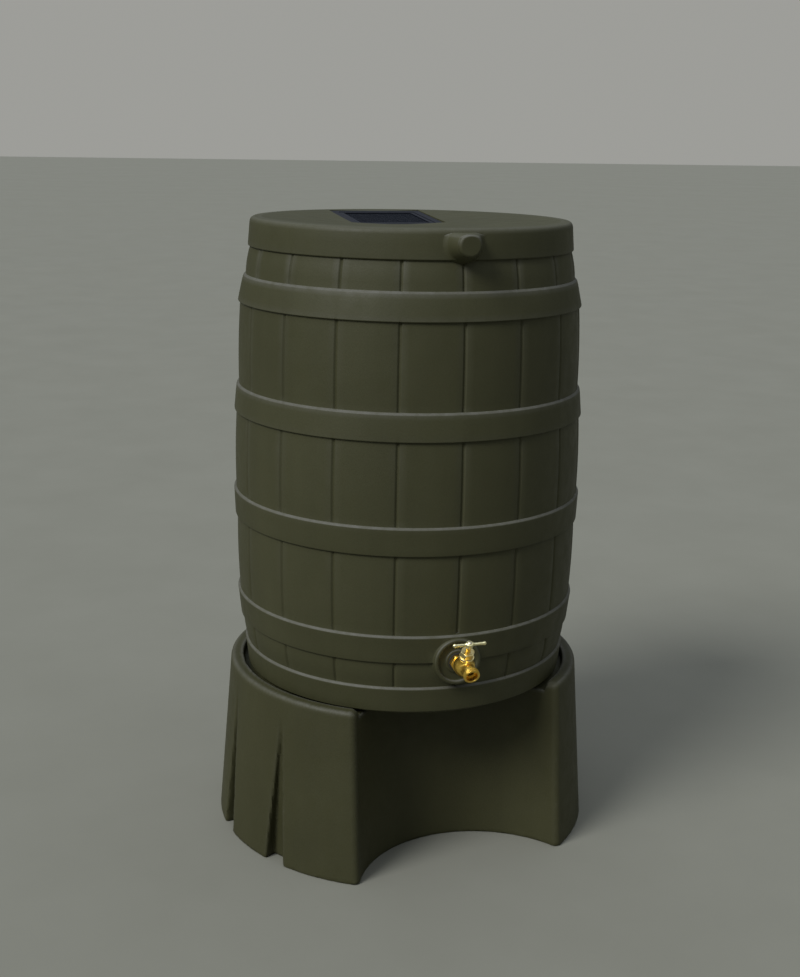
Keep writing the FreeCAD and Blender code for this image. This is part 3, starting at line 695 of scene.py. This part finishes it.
def thread(run, radius, pitch, depth, around):
    """The radius of a screw thread with soft crests at that run along it."""
    return radius - depth * (0.5 + 0.5 * np.cos(2 * math.pi * run / pitch - around))


def bent_pipe(x, y, z, radius, start, end):
    """How far outside the outlet's pipe a point is: a forward run, an elbow and a drooping end."""
    d, r, _ = along(x, y, z, RUN_START, forward(RUN_DROP))
    run = np.maximum(r - radius, np.maximum(start - d, d - RUN_LENGTH))
    elbow = np.sqrt(x ** 2 + (y - ELBOW[1]) ** 2 + (z - ELBOW[2]) ** 2) - radius
    d, r, _ = along(x, y, z, ELBOW, forward(OUTLET_DROP))
    droop = np.maximum(r - radius, np.maximum(-d, d - end))
    return np.minimum(np.minimum(run, elbow), droop)


def tap_outside(x, y, z):
    """The cast tap body's outside, with its hexagon and both threads."""
    back = PAD_FACE_Y - GASKET_THICK
    from_axis, height = np.hypot(x, z - TAP_Z), z - TAP_Z
    pipe = thread(y, SHANK_R, SHANK_PITCH, 0.9, np.arctan2(height, x))
    shank = np.maximum(np.maximum(from_axis - pipe, y - SHANK_END_Y), back - 3 - y)
    run = np.abs(back - y - SHANK_HEX_LENGTH / 2) - SHANK_HEX_LENGTH / 2
    wrench = round_max(hexagon(x, height, SHANK_HEX_FLATS), run, 0.5)
    wrench = np.maximum(wrench, from_axis + run - SHANK_HEX_TURNED_R)
    neck = np.maximum(np.maximum(from_axis - NECK_R, GLOBE_Y - y), y - back)
    globe = np.sqrt(x ** 2 + (y - GLOBE_Y) ** 2 + (z - GLOBE_Z) ** 2) - GLOBE_R
    s, stem_r, _ = along(x, y, z, GLOBE, STEM_DIR)
    collar = round_max(stem_r - BONNET_NECK_R, np.abs(s - NECK_TOP_S / 2) - NECK_TOP_S / 2, 0.6)
    outlet = bent_pipe(x, y, z, OUTLET_TUBE_R, 0, OUTLET_LENGTH)
    d, out_r, out_side = along(x, y, z, ELBOW, forward(OUTLET_DROP))
    depth, half = 1.0, HOSE_THREAD_LENGTH / 2
    crest = thread(d, HOSE_THREAD_R, HOSE_PITCH, depth, np.arctan2(out_side, x))
    crest = np.where(d > HOSE_THREAD_START, crest, HOSE_THREAD_R - depth)
    hose = round_max(out_r - crest, np.abs(d - OUTLET_LENGTH + half) - half, 0.9)
    body = round_min(round_min(globe, neck, 4.0), round_min(collar, outlet, 2.0), 3.5)
    body = round_min(body, hose, 1.0)
    return np.minimum(round_min(body, wrench, 1.2), round_min(wrench, shank, 0.6))


def tap_field(x, y, z):
    """The tap body with the water's way through it."""
    body = tap_outside(x, y, z)
    s, stem_r, _ = along(x, y, z, GLOBE, STEM_DIR)
    d, out_r, _ = along(x, y, z, ELBOW, forward(OUTLET_DROP))
    inlet = np.maximum(np.hypot(x, z - TAP_Z) - INLET_BORE_R, INLET_END_Y - y)
    under = GLOBE + STEM_DIR * (PARTITION_S - PASSAGE_DROP)
    start = np.array([0, INLET_END_Y + PASSAGE_DROP, TAP_Z - PASSAGE_DROP])
    length = np.linalg.norm(under - start)
    p, passage_r, _ = along(x, y, z, start, (under - start) / length)
    passage = np.maximum(passage_r - PASSAGE_R, np.abs(p - length / 2) - length / 2)
    low = np.maximum(stem_r - PASSAGE_R - 1, np.abs(s - PARTITION_S + PASSAGE_R / 2) - PASSAGE_R / 2)
    seat = np.maximum(stem_r - SEAT_HOLE_R, np.abs(s + 5.5) - 3.5)
    chamber = np.maximum(stem_r - CHAMBER_R, SEAT_S - s)
    bore = bent_pipe(x, y, z, OUTLET_BORE_R, CHAMBER_R / 2, OUTLET_LENGTH + 5)
    mouth = round_max(out_r - HOSE_BORE_R, OUTLET_LENGTH - HOSE_THREAD_LENGTH + 1 - d, 0.5)
    for hollow in (inlet, passage, low, seat, chamber, bore):
        body = np.maximum(body, -hollow)
    return round_max(body, -mouth, 0.5)


def make_tap_body():
    """The brass casting."""
    low, high = (-18, -380, TAP_Z - 15), (18, -257, TAP_Z + 29)
    tap = add_object("tap_body_cast", *surface_net(tap_field, low, high, 0.51))
    shade(tap, 50)
    return finish_piece(tap, "barrel", ["tap_body"], BRASS)


def stem_piece(name, field, low, high, reach, step):
    """A mesh of a field of (x, side, s), where s runs up the stem from the globe's centre."""
    points, quads = surface_net(field, (-reach[0], -reach[1], low), (reach[0], reach[1], high), step)
    turn = np.array([(1, 0, 0), (0, math.cos(LEAN), math.sin(LEAN)), STEM_DIR])
    return add_object(name, points @ turn + GLOBE, quads)


def make_packing_nut():
    """The hexagon cap nut over the packing, its corners turned down to a dome."""
    def field(x, side, s):
        r = np.hypot(x, side)
        past_end = np.abs(s - (NUT_BOTTOM_S + NUT_TOP_S) / 2) - (NUT_TOP_S - NUT_BOTTOM_S) / 2
        nut = round_max(hexagon(x, side, NUT_FLATS), past_end, 0.35)
        nut = np.maximum(nut, r + (s - NUT_TOP_S) * 1.3 - 10.3)
        nut = np.maximum(nut, r - (s - NUT_BOTTOM_S) * 1.6 - 10.7)
        bore = np.minimum(np.maximum(r - BONNET_THREAD_R - 0.05, s - BONNET_TOP_S), r - NUT_HOLE_R)
        return np.maximum(nut, -bore)
    nut = stem_piece("packing_nut_turned", field, NUT_BOTTOM_S, NUT_TOP_S, (12.2, 12.2), 0.35)
    shade(nut, 45)
    return finish_piece(nut, "barrel", ["packing_nut"], HIGHLIT_NUT_BRASS)


def make_bonnet():
    """The bonnet: a flange with a soft edge on the globe's neck, threaded above and below."""
    def field(x, side, s):
        r, spin = np.hypot(x, side), np.arctan2(side, x)
        from_flange = np.abs(s - (BONNET_FLANGE_S + BONNET_FLANGE_TOP_S) / 2)
        flange = round_max(r - BONNET_FLANGE_R, from_flange - 2.0, 0.7)
        half = (BONNET_TOP_S - BONNET_BOTTOM_S) / 2
        past_end = np.abs(s - BONNET_BOTTOM_S - half) - half
        screw = np.maximum(r - thread(s, BONNET_THREAD_R, 1.5, 0.5, spin), past_end)
        body = round_min(flange, screw, 0.4)
        bore = np.minimum(np.maximum(r - STEM_THREAD_BORE_R, s - BONNET_BORE_TOP_S), r - STEM_BORE_R)
        packing = np.maximum(r - PACKING_R, PACKING_FLOOR_S - s)
        return np.maximum(body, -np.minimum(bore, packing))
    bonnet = stem_piece("bonnet_turned", field, BONNET_BOTTOM_S, BONNET_TOP_S, (12.5, 12.5), 0.4)
    shade(bonnet, 45)
    return finish_piece(bonnet, "barrel", ["bonnet"], HIGHLIT_NUT_BRASS)


def make_t_handle():
    """A hub with a thin bar each way, swelling to a small knob at each end."""
    def field(x, side, s):
        half = (HUB_TOP_S - HUB_BOTTOM_S) / 2
        hub = round_max(np.hypot(x, side) - HUB_R, np.abs(s - HUB_BOTTOM_S - half) - half, 1.6)
        bar = np.hypot(side, s - HANDLE_S) - (2.1 + 0.7 * np.abs(x) / HANDLE_HALF)
        bar = np.maximum(bar, np.abs(x) - HANDLE_HALF)
        from_end = np.sqrt((np.abs(x) - HANDLE_HALF) ** 2 + side ** 2 + (s - HANDLE_S) ** 2)
        handle = round_min(round_min(hub, bar, 2.2), from_end - HANDLE_KNOB_R, 1.2)
        socket = np.maximum(np.maximum(np.abs(x), np.abs(side)) - SOCKET_HALF, s - SOCKET_TOP_S)
        return np.maximum(handle, -np.minimum(socket, np.hypot(x, side) - SCREW_R - 0.05))
    reach = (HANDLE_HALF + 3.5, 6.5)
    handle = stem_piece("t_handle_cast", field, HUB_BOTTOM_S, HUB_TOP_S, reach, 0.38)
    shade(handle, 50)
    return finish_piece(handle, "handle", ["t_handle"], HANDLE_BRASS)


def make_handle_screw():
    """The round-headed screw on top of the handle, with a slot."""
    def field(x, side, s):
        r = np.hypot(x, side)
        ball = np.sqrt(r ** 2 + (s - SCREW_TOP_S + 4.9) ** 2) - 4.9
        head = np.maximum(np.maximum(ball, HUB_TOP_S + 0.02 - s), r - SCREW_HEAD_R)
        slot = np.maximum(np.abs(side) - 0.45, SCREW_TOP_S - 0.9 - s)
        crest = thread(s, SCREW_R, 0.8, 0.25, np.arctan2(side, x))
        shank = np.maximum(r - crest, np.abs(s - SCREW_BOTTOM_S - 5.0) - 5.0)
        return np.minimum(np.maximum(head, -slot), shank)
    screw = stem_piece("handle_screw_turned", field, SCREW_BOTTOM_S, SCREW_TOP_S, (4.0, 4.0), 0.2)
    shade(screw, 45)
    return finish_piece(screw, "handle", ["handle_screw"], STEEL)


# ---------------------------------------------------------------- inlet screen
def tray_sizes():
    """Outer width and depth of the tray's walls, and of the mesh inside them."""
    less = 2 * LEDGE + 2 * WELL_ROOM
    well = (SCREEN_WIDTH - less, SCREEN_DEPTH - less)
    less = 2 * TRAY_WALL + 2 * MESH_ROOM
    return well, (well[0] - less, well[1] - less)


def make_screen_tray():
    """The square tray: a flange, four short walls and a floor of crossed bars."""
    (wide, deep), _ = tray_sizes()
    tray = slab("screen_tray_moulded", SCREEN_WIDTH, SCREEN_DEPTH, -TRAY_FLANGE, 0)
    inner_wide, inner_deep = wide - 2 * TRAY_WALL, deep - 2 * TRAY_WALL
    steps = [("UNION", slab("walls", wide, deep, -TRAY_HEIGHT, -TRAY_FLANGE / 2)),
             ("DIFFERENCE", slab("inside", inner_wide, inner_deep, -TRAY_HEIGHT - 1, 1))]
    seat = -TRAY_FLANGE - MESH_THICK
    under = seat - BAR_HEIGHT
    for k in range(GRID_BARS):
        offset = (k + 1) / (GRID_BARS + 1) - 0.5
        lengthways = slab("bar", BAR_WIDTH, deep - TRAY_WALL, under, seat, x=offset * wide)
        crossways = slab("bar", wide - TRAY_WALL, BAR_WIDTH, under, seat, y=offset * deep)
        steps += [("UNION", lengthways), ("UNION", crossways)]
    combine(tray, steps)
    soften(tray, MOULD_EDGE)
    shade(tray)
    return finish_piece(tray, "screen", ["screen_tray"], BLACK)


def make_screen_frame():
    """The flat frame that holds the mesh down."""
    _, (wide, deep) = tray_sizes()
    holder = slab("screen_frame_moulded", wide, deep, -TRAY_FLANGE, HOLD_DOWN - TRAY_FLANGE)
    less = 2 * HOLD_DOWN_RIM
    combine(holder, [("DIFFERENCE", slab("window", wide - less, deep - less, -8, 5))])
    soften(holder, MOULD_EDGE)
    shade(holder)
    return finish_piece(holder, "screen", ["screen_frame"], BLACK)


def make_screen_mesh():
    """The woven mesh: every thread goes over and under the ones it crosses."""
    _, (wide, deep) = tray_sizes()
    centre = -TRAY_FLANGE - MESH_THICK / 2
    turns = [k * math.pi / 2 + math.pi / 4 for k in range(4)]
    ring = [(math.cos(a), math.sin(a)) for a in turns]
    points, faces = [], []
    for along_x, length, width in ((True, wide, deep), (False, deep, wide)):
        threads = int(width / THREAD_PITCH)
        stops = int(length / THREAD_PITCH) * 2
        run = np.linspace(-length / 2, length / 2, stops + 1)
        for t in range(threads):
            off = (t - (threads - 1) / 2) * THREAD_PITCH
            phase = math.pi * (t + (0 if along_x else 1))
            wave = 0.5 * THREAD_R * np.cos(math.pi * run / THREAD_PITCH + phase) + centre
            base = len(points)
            for at, height in zip(run, wave):
                for u, v in ring:
                    a, b = off + u * THREAD_R * 0.8, height + v * THREAD_R * 0.5
                    points.append((at, a, b) if along_x else (a, at, b))
            for k in range(stops):
                for j in range(4):
                    here, after = base + 4 * k, base + 4 * k + 4
                    face = (here + j, here + (j + 1) % 4, after + (j + 1) % 4, after + j)
                    faces.append(face if not along_x else face[::-1])
            ends = ((base + 3, base + 2, base + 1, base), tuple(base + 4 * stops + j for j in range(4)))
            faces += ends if not along_x else [end[::-1] for end in ends]
    mesh = add_object("screen_mesh_woven", in_screen_frame(points), faces)
    shade(mesh, 60)
    return finish_piece(mesh, "screen", ["screen_mesh"], MESH)


# ---------------------------------------------------------------- materials
def new_material(name):
    """An empty material and its node tree, shader and texture coordinates."""
    material = bpy.data.materials.new(name)
    material.use_nodes = True
    nodes = material.node_tree.nodes
    shader = nodes["Principled BSDF"]
    place = nodes.new("ShaderNodeTexCoord")
    return material, nodes, material.node_tree.links, shader, place.outputs["Object"]


def noise(nodes, links, place, scale, detail=3.0, roughness=0.5, stretch=None):
    """A noise pattern; scale is in cycles a metre. Returns its grey output."""
    pattern = nodes.new("ShaderNodeTexNoise")
    pattern.inputs["Scale"].default_value = scale
    pattern.inputs["Detail"].default_value = detail
    pattern.inputs["Roughness"].default_value = roughness
    if stretch:
        mapping = nodes.new("ShaderNodeMapping")
        mapping.inputs["Scale"].default_value = stretch
        links.new(place, mapping.inputs["Vector"])
        place = mapping.outputs["Vector"]
    links.new(place, pattern.inputs["Vector"])
    return pattern.outputs["Fac"]


def ramp(nodes, links, source, stops):
    """Colours or greys along a value. Each stop is (position, colour)."""
    node = nodes.new("ShaderNodeValToRGB")
    while len(node.color_ramp.elements) < len(stops):
        node.color_ramp.elements.new(0.5)
    for element, (position, colour) in zip(node.color_ramp.elements, stops):
        element.position = position
        element.color = (*colour, 1) if len(colour) == 3 else (colour[0],) * 3 + (1,)
    links.new(source, node.inputs["Fac"])
    return node.outputs["Color"]


def mix(nodes, links, kind, share, a, b):
    """Mix two colours. share is a number or an output."""
    node = nodes.new("ShaderNodeMix")
    node.data_type = "RGBA"
    node.blend_type = kind
    if isinstance(share, float):
        node.inputs["Factor"].default_value = share
    else:
        links.new(share, node.inputs["Factor"])
    links.new(a, node.inputs[6])
    links.new(b, node.inputs[7])
    return node.outputs[2]


def bump(nodes, links, height, strength, distance, under=None):
    """A bump from a grey pattern, on top of an earlier one. distance is in metres."""
    node = nodes.new("ShaderNodeBump")
    node.inputs["Strength"].default_value = strength
    node.inputs["Distance"].default_value = distance
    links.new(height, node.inputs["Height"])
    if under:
        links.new(under, node.inputs["Normal"])
    return node.outputs["Normal"]


def moulded_plastic(name, pale, deep, grain):
    """Roto-moulded plastic: a matt skin with fine grain, faint clouds, pin-prick speckle and a painted
    highlight on sharp upward edges.
    """
    material, nodes, links, shader, place = new_material(name)
    clouds = noise(nodes, links, place, 5.5, 4.0, 0.55)
    colour = ramp(nodes, links, clouds, [(0.3, deep), (0.7, pale)])
    speckle = ramp(nodes, links, noise(nodes, links, place, 620.0, 2.0, 0.6),
                   [(0.30, (0.80,)), (0.5, (1.0,)), (0.72, (1.10,))])
    colour = mix(nodes, links, "MULTIPLY", 0.55, colour, speckle)
    streaks = ramp(nodes, links, noise(nodes, links, place, 14.0, 3.0, 0.6, (1.0, 1.0, 0.12)),
                   [(0.35, (0.93,)), (0.65, (1.05,))])
    colour = mix(nodes, links, "MULTIPLY", 0.7, colour, streaks)
    # Painted highlight: the stored edge highlight, broken up by patchy noise, mixes the colour toward a paler
    # grey.
    highlight_attribute = nodes.new("ShaderNodeAttribute")
    highlight_attribute.attribute_name = "painted_highlight"
    patchy = ramp(nodes, links, noise(nodes, links, place, 70.0, 4.0, 0.65), [(0.3, (0.55,)), (0.6, (1.0,))])
    share = nodes.new("ShaderNodeMath")
    share.operation = "MULTIPLY"
    links.new(highlight_attribute.outputs["Fac"], share.inputs[0])
    links.new(patchy, share.inputs[1])
    highlight_colour = ramp(nodes, links, clouds, [(0.3, (0.098, 0.096, 0.080)), (0.7, (0.116, 0.114, 0.096))])
    colour = mix(nodes, links, "MIX", share.outputs[0], colour, highlight_colour)
    links.new(colour, shader.inputs["Base Color"])
    gloss = ramp(nodes, links, noise(nodes, links, place, 38.0, 4.0, 0.6), [(0.3, (0.52,)), (0.7, (0.66,))])
    links.new(gloss, shader.inputs["Roughness"])
    shader.inputs["Specular IOR Level"].default_value = 0.28
    waves = bump(nodes, links, noise(nodes, links, place, 16.0, 2.0, 0.4), 0.12, 0.0012)
    pores = bump(nodes, links, noise(nodes, links, place, 260.0, 3.0, 0.6), grain, 0.00035, waves)
    fine = bump(nodes, links, noise(nodes, links, place, 1100.0, 2.0, 0.6), grain, 0.00016, pores)
    links.new(fine, shader.inputs["Normal"])
    return material


def brass_metal(name, bright, worn, low, high):
    """Yellow brass with cast grain, faint tarnish and a wiped shine."""
    material, nodes, links, shader, place = new_material(name)
    tarnish = noise(nodes, links, place, 120.0, 4.0, 0.6)
    links.new(ramp(nodes, links, tarnish, [(0.32, worn), (0.6, bright)]), shader.inputs["Base Color"])
    shader.inputs["Metallic"].default_value = 1.0
    wiped = noise(nodes, links, place, 340.0, 3.0, 0.6)
    links.new(ramp(nodes, links, wiped, [(0.3, (low,)), (0.75, (high,))]), shader.inputs["Roughness"])
    cast = bump(nodes, links, noise(nodes, links, place, 260.0, 2.0, 0.5), 0.10, 0.0002)
    fine = bump(nodes, links, noise(nodes, links, place, 2600.0, 2.0, 0.5), 0.08, 0.00004, cast)
    links.new(fine, shader.inputs["Normal"])
    return material


def dull_material(name, pale, deep, roughness, scale, depth, stretch=None, shine=0.5):
    """Rubber, fibre, packing or satin black plastic: two close colours and a fine bump."""
    material, nodes, links, shader, place = new_material(name)
    grain = noise(nodes, links, place, scale, 4.0, 0.6, stretch)
    links.new(ramp(nodes, links, grain, [(0.3, deep), (0.7, pale)]), shader.inputs["Base Color"])
    gloss = ramp(nodes, links, noise(nodes, links, place, scale / 4, 3.0, 0.5),
                 [(0.3, (roughness - 0.07,)), (0.7, (roughness + 0.07,))])
    links.new(gloss, shader.inputs["Roughness"])
    shader.inputs["Specular IOR Level"].default_value = shine
    links.new(bump(nodes, links, grain, 0.3, depth), shader.inputs["Normal"])
    return material


def brushed_steel():
    """Yellow-plated steel with turning marks."""
    material, nodes, links, shader, place = new_material("plated_steel")
    marks = noise(nodes, links, place, 900.0, 3.0, 0.5, (1.0, 1.0, 8.0))
    links.new(ramp(nodes, links, marks, [(0.3, (0.62, 0.56, 0.40)), (0.7, (0.80, 0.74, 0.56))]),
              shader.inputs["Base Color"])
    shader.inputs["Metallic"].default_value = 1.0
    links.new(ramp(nodes, links, marks, [(0.3, (0.32,)), (0.7, (0.48,))]), shader.inputs["Roughness"])
    links.new(bump(nodes, links, marks, 0.2, 0.00004), shader.inputs["Normal"])
    return material


MOULDED = moulded_plastic("olive_brown_plastic", (0.0485, 0.0480, 0.0215), (0.0415, 0.0412, 0.0172), 0.5)
STAND_SKIN = moulded_plastic("stand_plastic_skin", (0.0425, 0.0415, 0.0168), (0.0355, 0.0348, 0.0135), 0.55)
BRASS = brass_metal("cast_brass", (0.90, 0.62, 0.13), (0.74, 0.46, 0.07), 0.30, 0.44)
# Painted highlight: the handle, packing nut and bonnet brass are paler copies of the cast brass, standing in
# for the light these parts catch.
HANDLE_BRASS = brass_metal("handle_brass", (0.96, 0.90, 0.54), (0.90, 0.80, 0.42), 0.32, 0.44)
HIGHLIT_NUT_BRASS = brass_metal("nut_brass_painted_highlight", (0.95, 0.82, 0.44), (0.88, 0.70, 0.28), 0.28, 0.40)
BLACK = dull_material("satin_black", (0.009, 0.011, 0.018), (0.006, 0.007, 0.012), 0.62, 700.0, 0.0001,
                      shine=0.2)
MESH = dull_material("black_thread", (0.008, 0.011, 0.019), (0.005, 0.007, 0.012), 0.6, 900.0, 0.00006,
                     shine=0.2)
RUBBER = dull_material("black_rubber", (0.024, 0.023, 0.022), (0.013, 0.013, 0.012), 0.78, 800.0, 0.00012)
FIBRE = dull_material("red_fibre", (0.40, 0.10, 0.06), (0.26, 0.05, 0.03), 0.8, 1400.0, 0.0001,
                      (1.0, 1.0, 4.0))
PACKING = dull_material("pale_packing", (0.80, 0.78, 0.72), (0.58, 0.56, 0.5), 0.7, 1100.0, 0.0002,
                        (3.0, 3.0, 1.0))
STEEL = brushed_steel()

CAD_FINISH = {
    "overflow_o_ring": RUBBER, "tap_outer_gasket": RUBBER, "tap_inner_gasket": RUBBER, "tap_locknut": BLACK,
    "bonnet_gasket": FIBRE, "packing_washer": BRASS, "packing_ring": PACKING, "disc_holder": BRASS,
    "seat_washer": RUBBER, "washer_screw": BRASS, "stem": BRASS,
}


def finish_piece(piece, body, nodes, material):
    """Give a finished piece its material and its body, and hide the CAD nodes that it stands for."""
    piece.data.materials.clear()
    piece.data.materials.append(material)
    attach(piece, body)
    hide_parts(*nodes)
    return piece


def dress_cad_nodes():
    """Put the finished materials on the CAD nodes that stay as they are."""
    for name, material in CAD_FINISH.items():
        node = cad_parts[name]
        node.data.materials.clear()
        node.data.materials.append(material)


# ---------------------------------------------------------------- studio
VIEW_TURN = 17.3        # the camera stands this far round to the barrel's left
VIEW_AWAY = 2403.96
VIEW_HEIGHT = 1221.6
VIEW_YAW = -0.2606
VIEW_PITCH = 14.4183
VIEW_ROLL = 1.0426
LENS = 50.83


def make_camera():
    """The camera, at the photograph's viewing angle."""
    turn, yaw, pitch, roll = (math.radians(v) for v in (VIEW_TURN, VIEW_YAW, VIEW_PITCH, VIEW_ROLL))
    ahead = Vector((math.sin(yaw) * math.cos(pitch), math.cos(yaw) * math.cos(pitch), -math.sin(pitch)))
    right = Vector((math.cos(yaw), -math.sin(yaw), 0))
    up = right.cross(ahead)
    right, up = right * math.cos(roll) + up * math.sin(roll), up * math.cos(roll) - right * math.sin(roll)
    place = Matrix((right, up, -ahead)).transposed().to_4x4()
    place.translation = Vector((0, -VIEW_AWAY * MM, VIEW_HEIGHT * MM))
    camera = bpy.data.objects.new("camera", bpy.data.cameras.new("camera"))
    camera.data.lens = LENS
    camera.data.clip_end = 200
    camera.matrix_world = (Matrix.Translation((0, AXIS_Y * MM, 0)) @ Matrix.Rotation(-turn, 4, "Z") @ place)
    bpy.context.scene.collection.objects.link(camera)
    bpy.context.scene.camera = camera


def add_sun(name, strength, width, toward, colour=(1, 1, 1)):
    """A soft light from far away. toward points to it, and width is its angle in degrees."""
    lamp = bpy.data.lights.new(name, "SUN")
    lamp.energy = strength
    lamp.angle = math.radians(width)
    lamp.color = colour
    holder = bpy.data.objects.new(name, lamp)
    holder.rotation_mode = "QUATERNION"
    holder.rotation_quaternion = Vector(toward).to_track_quat("Z", "Y")
    bpy.context.scene.collection.objects.link(holder)


def make_sky():
    """A sky that is bright overhead and dim near the ground, on a plain grey backdrop."""
    world = bpy.data.worlds.new("studio")
    world.use_nodes = True
    nodes, links = world.node_tree.nodes, world.node_tree.links
    place = nodes.new("ShaderNodeTexCoord")
    parts = nodes.new("ShaderNodeSeparateXYZ")
    links.new(place.outputs["Generated"], parts.inputs[0])
    light = ramp(nodes, links, parts.outputs["Z"],
                 [(0.0, (0.04, 0.04, 0.026)), (0.3, (0.12, 0.125, 0.12)), (1.0, (0.9, 0.97, 1.08))])
    nodes["Background"].inputs["Strength"].default_value = 1.0
    links.new(light, nodes["Background"].inputs["Color"])
    backdrop = nodes.new("ShaderNodeBackground")
    backdrop.inputs["Color"].default_value = (0.34, 0.34, 0.32, 1)
    rays = nodes.new("ShaderNodeLightPath")
    either = nodes.new("ShaderNodeMixShader")
    links.new(rays.outputs["Is Camera Ray"], either.inputs[0])
    links.new(nodes["Background"].outputs[0], either.inputs[1])
    links.new(backdrop.outputs[0], either.inputs[2])
    links.new(either.outputs[0], nodes["World Output"].inputs["Surface"])
    bpy.context.scene.world = world


def make_studio():
    """A grey-green floor, a soft key light from the left and a soft sky."""
    add_sun("key", 2.8, 24, (-0.84, -0.40, 0.84), (0.97, 0.98, 1.0))
    add_sun("fill", 0.04, 60, (0.7, -0.8, 0.5), (0.95, 0.97, 0.9))
    make_sky()
    bpy.context.scene.view_settings.view_transform = "Standard"
    reach, under = 60.0, -0.0005
    corners = [(-reach, -reach, under), (reach, -reach, under), (reach, reach, under), (-reach, reach, under)]
    mesh = bpy.data.meshes.new("floor")
    mesh.from_pydata(corners, [], [(0, 1, 2, 3)])
    floor = bpy.data.objects.new("floor", mesh)
    bpy.context.scene.collection.objects.link(floor)
    ground = dull_material("floor", (0.185, 0.184, 0.150), (0.172, 0.171, 0.138), 0.9, 3.0, 0.0002)
    floor.data.materials.append(ground)


make_camera()
make_studio()
dress_cad_nodes()
make_barrel_shell()
make_overflow_cap()
make_stand()
make_tap_body()
make_packing_nut()
make_bonnet()
make_t_handle()
make_handle_screw()
make_screen_tray()
make_screen_frame()
make_screen_mesh()
